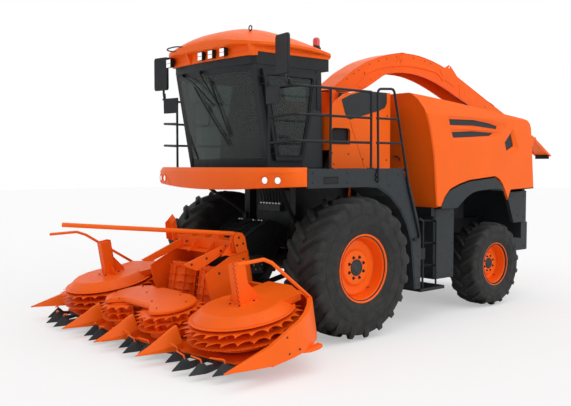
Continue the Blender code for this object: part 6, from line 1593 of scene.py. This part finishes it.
# Discharge spout: a folded channel with a smooth back, open below, and its flap
def addSpout():
    spout = {"half": 0.189, "sheet": 0.010}
    half, t = spout["half"], spout["sheet"]
    stations = [(0.80, 3.362, 1.24, 3.357), (0.90, 3.435, 1.30, 3.363), (1.05, 3.535, 1.40, 3.378),
        (1.20, 3.64, 1.50, 3.41), (1.37, 3.735, 1.61, 3.46), (1.62, 3.855, 1.80, 3.58),
        (1.93, 3.955, 2.05, 3.685), (2.20, 4.022, 2.25, 3.722), (2.45, 4.052, 2.45, 3.742),
        (2.85, 4.045, 2.80, 3.735), (3.32, 3.965, 3.20, 3.665), (3.75, 3.835, 3.60, 3.545),
        (4.18, 3.665, 4.02, 3.395), (5.17, 3.272, 5.04, 3.052), (6.45, 2.782, 6.36, 2.602)]
    rows = spline([Vector(s) for s in stations], 3)
    channel, back = [], []
    for a, b, c, d in rows:
        up = (Vector((a, b)) - Vector((c, d))).normalized()
        hi, lo = Vector((a, b)) - up * 0.004, Vector((c, d))
        under = hi - up * t
        channel.append([(-half, hi.x, hi.y), (half, hi.x, hi.y), (half, lo.x, lo.y), (half - t, lo.x, lo.y),
            (half - t, under.x, under.y), (-half + t, under.x, under.y), (-half + t, lo.x, lo.y),
            (-half, lo.x, lo.y)])
        back.append([(-half - 0.005, a, b), (half + 0.005, a, b), (half + 0.005, hi.x, hi.y),
            (-half - 0.005, hi.x, hi.y)])
    addPiece("spoutChannel", together(loft(channel), loft(back)), "orangeEnamel", "spout",
        replaces=("spout",), angle=30)
    floorRows, hollowShade, hems = [], [], []
    for a, b, c, d in rows:
        up = (Vector((a, b)) - Vector((c, d))).normalized()
        lo = Vector((c, d))
        if c < 2.30:
            over = lo + up * 0.008
            floorRows.append([(-half + t, over.x, over.y), (half - t, over.x, over.y), (half - t, lo.x, lo.y),
                (-half + t, lo.x, lo.y)])
        if c > 2.10:
            # Past the base a dark sheet hangs 0.10 below the top inside the open channel: painted shade of
            # the channel's hollow
            top = Vector((a, b)) - up * 0.10
            low = top - up * 0.012
            hollowShade.append([(-half + t + 0.002, top.x, top.y), (half - t - 0.002, top.x, top.y),
                (half - t - 0.002, low.x, low.y), (-half + t + 0.002, low.x, low.y)])
            hems.append([(half - t, lo.x, lo.y), (half - 0.030, lo.x, lo.y),
                (half - 0.030, lo.x + up.x * 0.004, lo.y + up.y * 0.004), (half - t, lo.x + up.x * 0.004, lo.y
                + up.y * 0.004)])
    addPiece("spoutFloor", loft(floorRows), "orangeEnamel", "spout", angle=30)
    # Painted shade inside the spout channel
    addPiece("spoutHollowShade", loft(hollowShade), "hoseRubber", "spout", angle=30)
    addPair("spoutHems", loft(hems), "orangeEnamel", "spout", angle=30)
    rib = [(1.53, 3.655), (1.80, 3.755), (2.13, 3.832), (2.41, 3.866), (2.80, 3.874), (3.10, 3.850),
        (3.32, 3.815), (3.50, 3.700)]
    ribPath = [(0.1945, y, z) for y, z in rib]
    addPair("spoutRibs", swept(spline(ribPath, 4), [(-0.006, -0.030), (0.006, -0.022), (0.006, 0.022),
        (-0.006, 0.030)]), "orangeEnamel", "spout", bevel=0.002, angle=30)
    gusset = pierced([(1.36, 3.462), (1.54, 3.640), (1.86, 3.742), (2.20, 3.745), (2.02, 3.690),
        (1.72, 3.520), (1.60, 3.455), (1.46, 3.430)], [ringOf(1.66, 3.565, 0.020),
        ringOf(1.86, 3.655, 0.030)], "x", 0.1895, 0.1945)
    addPair("spoutGussets", gusset, "orangeEnamel", "spout", bevel=0.0015)
    eye = pierced([(3.40, 3.86), (3.56, 3.925), (3.63, 3.965), (3.70, 3.945), (3.80, 3.86), (3.90, 3.77),
        (4.05, 3.68), (3.80, 3.60), (3.50, 3.72)], [ringOf(3.655, 3.925, 0.016)], "x", 0.1895, 0.1955)
    addPair("spoutEyes", eye, "orangeEnamel", "spout", bevel=0.0015)
    band = together(slab([(2.36, 3.83), (2.48, 3.85), (2.49, 4.058), (2.42, 4.058)], "x", 0.1895, 0.200),
        slab([(2.20, 3.80), (2.24, 3.80), (2.47, 4.04), (2.40, 4.04)], "x", 0.1895, 0.197))
    addPair("spoutBraces", band, "orangeEnamel", "spout", bevel=0.002)
    addPiece("spoutBridge", block((-0.20, 0.20), (2.40, 2.49), (4.0525, 4.0585)), "orangeEnamel", "spout",
        bevel=0.002)
    places = []
    for y in (1.10, 1.24, 1.38, 1.60, 1.85, 2.05, 2.30, 2.65, 2.95, 3.20):
        row = min(rows, key=lambda r: abs(r[0] - y))
        up = (Vector(row[:2]) - Vector(row[2:])).normalized()
        at = Vector(row[:2]) - up * 0.055
        places.append((half, at.x, at.y))
    for y in (4.30, 4.75, 5.20, 5.70, 6.15):
        row = min(rows, key=lambda r: abs(r[0] - y))
        at = (Vector(row[:2]) + Vector(row[2:])) / 2
        places.append((half, at.x, at.y))
    places += [(half, y, z) for y, z in ((0.92, 3.395), (1.14, 3.385), (1.60, 3.70), (1.66, 3.71))]
    addPair("spoutBolts", bolts(places, (1, 0, 0), 0.007), "blackSteel", "spout")
    patch = pierced([(3.95, 3.66), (4.30, 3.535), (4.36, 3.40), (4.20, 3.335), (3.96, 3.43)],
        [ringOf(4.26, 3.41, 0.012)], "x", 0.1895, 0.1935)
    addPair("spoutPatches", patch, "orangeEnamel", "spout", bevel=0.001)
    ears = bothSides(slab([(6.355, 2.715), (6.355, 2.79), (6.475, 2.797), (6.497, 2.775), (6.475, 2.750)],
        "x", 0.178, 0.1885))
    pins = bothSides(disc(0.018, 0.165, 0.216, "x", (0, 0.80, 3.375), 24, 0.002))
    addPiece("spoutEars", together(ears, pins), "orangeEnamel", "spout", bevel=0.001)
    along = (Vector((6.45, 2.782)) - Vector((5.17, 3.272))).normalized()
    square = Vector((-along.y, along.x))
    start = Vector((5.24, 3.272 - 0.026)) + square * 0.050
    ram = together(tube([(0.0, start.x, start.y), (0.0, *(start + along * 0.42))], 0.030, sides=20),
        block((-0.03, 0.03), (start.x - 0.03, start.x + 0.03), (start.y - 0.075, start.y + 0.01)))
    addPiece("flapRam", ram, "orangeEnamel", "spout", bevel=0.002)
    rodEnd = start + along * 0.74
    addPiece("flapRod", tube([(0.0, *(start + along * 0.42)), (0.0, *rodEnd)], 0.012), "chromeRod", "spout")
    hose = [start + along * 0.05 + square * 0.04, start - along * 0.10 + square * 0.06, start - along * 0.45
        + square * 0.035, start - along * 0.85 + square * -0.012]
    for shift in (-0.03, 0.03):
        addPiece("spoutHose" + ("L" if shift > 0 else "R"), tube(spline([(shift, p.x, p.y) for p in hose], 5),
            0.008), "hoseRubber", "spout")


def addFlap():
    y, z = 6.475, 2.775
    wide = 0.168
    plate = slab([(y + 0.004, z - 0.008), (y + 0.008, z + 0.006), (y + 0.31, z - 0.158),
        (y + 0.33, z - 0.172), (y + 0.635, z - 0.335), (y + 0.625, z - 0.35), (y + 0.32, z - 0.185)], "x",
        -wide, wide)
    brim = pierced([(y + 0.02, z - 0.055), (y + 0.02, z - 0.004), (y + 0.30, z - 0.152),
        (y + 0.60, z - 0.318), (y + 0.60, z - 0.352), (y + 0.30, z - 0.225)],
        [ringOf(y + 0.30, z - 0.188, 0.010)], "x", wide - 0.010, wide - 0.002)
    addPiece("spoutFlap", together(plate, bothSides(brim)), "orangeEnamel", "spout_flap", bevel=0.002,
        replaces=("spout_flap",))
    addPiece("flapHinge", together(disc(0.016, -wide + 0.002, wide - 0.002, "x", (0, y, z), 24, 0.002),
        disc(0.010, -0.188, 0.188, "x", (0, y, z), 20)), "blackSteel", "spout_flap")
    curtain = block((-wide + 0.015, wide - 0.015), (y + 0.56, y + 0.572), (z - 0.40, z - 0.315))
    addPiece("flapApron", curtain, "hoseRubber", "spout_flap", bevel=0.002)
    stiff = together(*[slab([(y + 0.04, z - 0.020), (y + 0.05, z + 0.012), (y + 0.28, z - 0.112),
        (y + 0.29, z - 0.146)], "x", x - 0.003, x + 0.003) for x in (-0.06, 0.06)])
    addPiece("flapRibs", stiff, "orangeEnamel", "spout_flap", bevel=0.001)


def addTurret():
    ring = spun([(0.345, wellTop), (0.392, wellTop), (0.396, 2.946), (0.396, 2.958), (0.390, 2.963),
        (0.345, 2.963)], centre=(0, turretY, 0), sides=64, closed=True)
    teeth = together(*[placed(block((0.388, 0.402), (-0.012, 0.012), (2.942, 2.962)),
        Matrix.Translation((0, turretY, 0)) @ Matrix.Rotation(a, 4, "Z")) for a in turns(48)])
    addPiece("turretRing", together(ring, teeth), "castBlack")
    sleeve = spun([(0.2445, wellTop), (0.338, wellTop), (0.340, 2.945), (0.340, 2.966), (0.336, 2.970),
        (0.290, 2.970), (0.2805, 2.980), (0.280, 3.315), (0.284, 3.320), (0.284, 3.330), (0.280, 3.333),
        (0.2445, 3.333)], centre=(0, turretY, 0), sides=64, closed=True)
    ear = pierced([(0.75, 3.375), (0.765, 3.408), (0.80, 3.425), (0.835, 3.408), (0.86, 3.37), (0.98, 3.24),
        (0.90, 3.10), (0.80, 3.15), (0.77, 3.24)], [ringOf(0.80, 3.375, 0.0195, 20)], "x", 0.1965, 0.2195)
    addPiece("turretBody", together(sleeve, bothSides(ear)), "orangeEnamel", "turret", bevel=0.0015,
        replaces=("turret",))
    places = [(0.314 * math.cos(a), turretY + 0.314 * math.sin(a), 2.970) for a in turns(20, 0.5)]
    addPiece("turretBolts", bolts(places, (0, 0, 1), 0.008), "blackSteel", "turret")
    bracket = together(pierced([(0.87, 3.235), (1.15, 3.245), (1.15, 3.318), (0.87, 3.322)],
        [ringOf(0.955, 3.285, 0.026)], "x", 0.285, 0.293), block((0.262, 0.290), (0.90, 1.12), (3.24, 3.25)))
    addPair("turretBrackets", bracket, "blackCoat", "turret", bevel=0.0015)
    motor = together(disc(0.055, wellTop, 3.06, "z", (0.0, 0.60, 0), 28, 0.006),
        disc(0.035, 3.06, 3.12, "z", (0.0, 0.60, 0), 24, 0.004), block((-0.05, 0.05), (0.55, 0.65),
        (wellTop, 2.955)))
    addPiece("turretMotor", motor, "castBlack", bevel=0.002)


addHood()
addArches()
addRearEnd()
addHousing()
addDeckDetails()
addBoarding()
addSpout()
addFlap()
addTurret()
print("bodywork built")


# Feeder top, its gearbox and the hoses, seen between header and front axle
def addFeederDetails():
    hoseXs = (-0.26, -0.20, 0.06, 0.18, 0.24)
    feeder = {"half": 0.34, "rear": (-0.47, 1.500), "front": (-1.085, 1.186)}
    half, rear, front = feeder["half"], Vector(feeder["rear"]), Vector(feeder["front"])
    run = (rear - front).normalized()
    up = Vector((-run.y, run.x))

    def onTop(along, high):
        at = front + run * along + up * high
        return (at.x, at.y)
    plate = slab([onTop(0.02, 0.004), onTop(0.66, 0.004), onTop(0.66, 0.016), onTop(0.02, 0.016)], "x", -half
        + 0.02, half - 0.02)
    ribs = together(*[slab([onTop(0.06, 0.016), onTop(0.62, 0.016), onTop(0.58, 0.045), onTop(0.10, 0.045)],
        "x", x - 0.004, x + 0.004) for x in (-0.30, -0.12, 0.12, 0.30)])
    addPiece("feederLid", together(plate, ribs), "greyCoat", "header", bevel=0.002)
    addPiece("feederLidBolts", bolts([(x, *onTop(a, 0.016)) for x in (-0.22, 0.0, 0.22)
        for a in (0.06, 0.34, 0.62)], (0, -0.454, 0.891), 0.009), "blackSteel", "header")
    gearbox = together(block((half, half + 0.13), (-0.95, -0.72), (0.82, 1.05)), disc(0.085, half + 0.13, half
        + 0.16, "x", (0, -0.835, 0.935), 32, 0.006), disc(0.045, half + 0.16, half + 0.19, "x",
        (0, -0.835, 0.935), 24, 0.004))
    addPair("feederGearbox", gearbox, "castBlack", "header", bevel=0.008)
    heads = bolts([(half + 0.16, -0.835 + 0.066 * math.cos(a), 0.935 + 0.066 * math.sin(a))
        for a in [math.pi * k / 3 for k in range(6)]], (1, 0, 0), 0.009)
    addPair("gearboxBolts", heads, "zincSteel", "header")
    ribs = together(*[slab([(-1.02, z), (-0.60, z + 0.10), (-0.60, z + 0.125), (-1.02, z + 0.025)], "x", half,
        half + 0.018) for z in (0.60, 1.08)])
    addPair("feederRibs", ribs, "blackCoat", "header", bevel=0.002)
    for k, x in enumerate(hoseXs):
        path = [(x, *onTop(0.60, 0.020)), (x + 0.01, *onTop(0.48, 0.060)), (x - 0.01, *onTop(0.28, 0.066)),
            (x + 0.015, *onTop(0.10, 0.052)), (x + 0.03, *onTop(0.03, 0.020))]
        addPiece("feederHose" + str(k + 1), tube(spline(path, 6), 0.011), "hoseRubber", "header")
    y, z = onTop(0.61, 0)
    couplings = together(*[block((x - 0.012, x + 0.012), (y - 0.02, y + 0.02), (z + 0.01, z + 0.04))
        for x in hoseXs])
    addPiece("hoseCouplings", couplings, "zincSteel", "header", bevel=0.003)


def addUnderDeck():
    # Hydraulic lines down the front of the chopper housing, ending in a valve block
    valve = block((-0.24, 0.24), (-0.232, -0.162), (1.60, 1.70))
    addPiece("valveBlock", valve, "castBlack", bevel=0.006)
    lineXs = [-0.20 + k * 0.066 for k in range(7)]
    for k, x in enumerate(lineXs):
        path = [(x, -0.197, 1.70), (x + 0.006, -0.205, 1.80), (x * 1.12, -0.235, 1.95),
            (x * 1.25, -0.215, 2.08), (x * 1.25, -0.19, 2.13)]
        addPiece("deckHose" + str(k + 1), tube(spline(path, 6), 0.012), "hoseRubber")
    nuts = together(*[disc(0.018, 1.70, 1.722, "z", (x, -0.197, 0), 6, 0.001) for x in lineXs])
    addPiece("hoseNuts", nuts, "zincSteel")
    clamp = block((-0.27, 0.27), (-0.222, -0.176), (2.10, 2.135))
    addPiece("hoseClamp", clamp, "blackSteel", bevel=0.003)


def addAxleBolts():
    # Bolt circles of the final drives
    z = frontWheel["radius"]
    ring = [(0.6595, 0.175 * math.cos(a), z + 0.175 * math.sin(a)) for a in turns(12)]
    addPair("driveBolts", bolts(ring, (-1, 0, 0), 0.012), "zincSteel")


def addStruts():
    # Tubular struts from the deck's front corners down to the frame's front columns
    path = [(1.00, -1.00, 2.192), (0.97, -0.95, 2.14), (0.545, -0.27, 1.57), (0.520, -0.235, 1.50)]
    ends = together(block((0.95, 1.05), (-1.05, -0.95), (2.180, 2.192)),
        block((0.48, 0.56), (-0.262, -0.2203), (1.46, 1.56)))
    addPair("deckStruts", together(tube(path, 0.024, 0.03, 14), ends), "blackCoat", bevel=0.002)


addFeederDetails()
addStruts()
addUnderDeck()
addAxleBolts()
print("under deck ready")
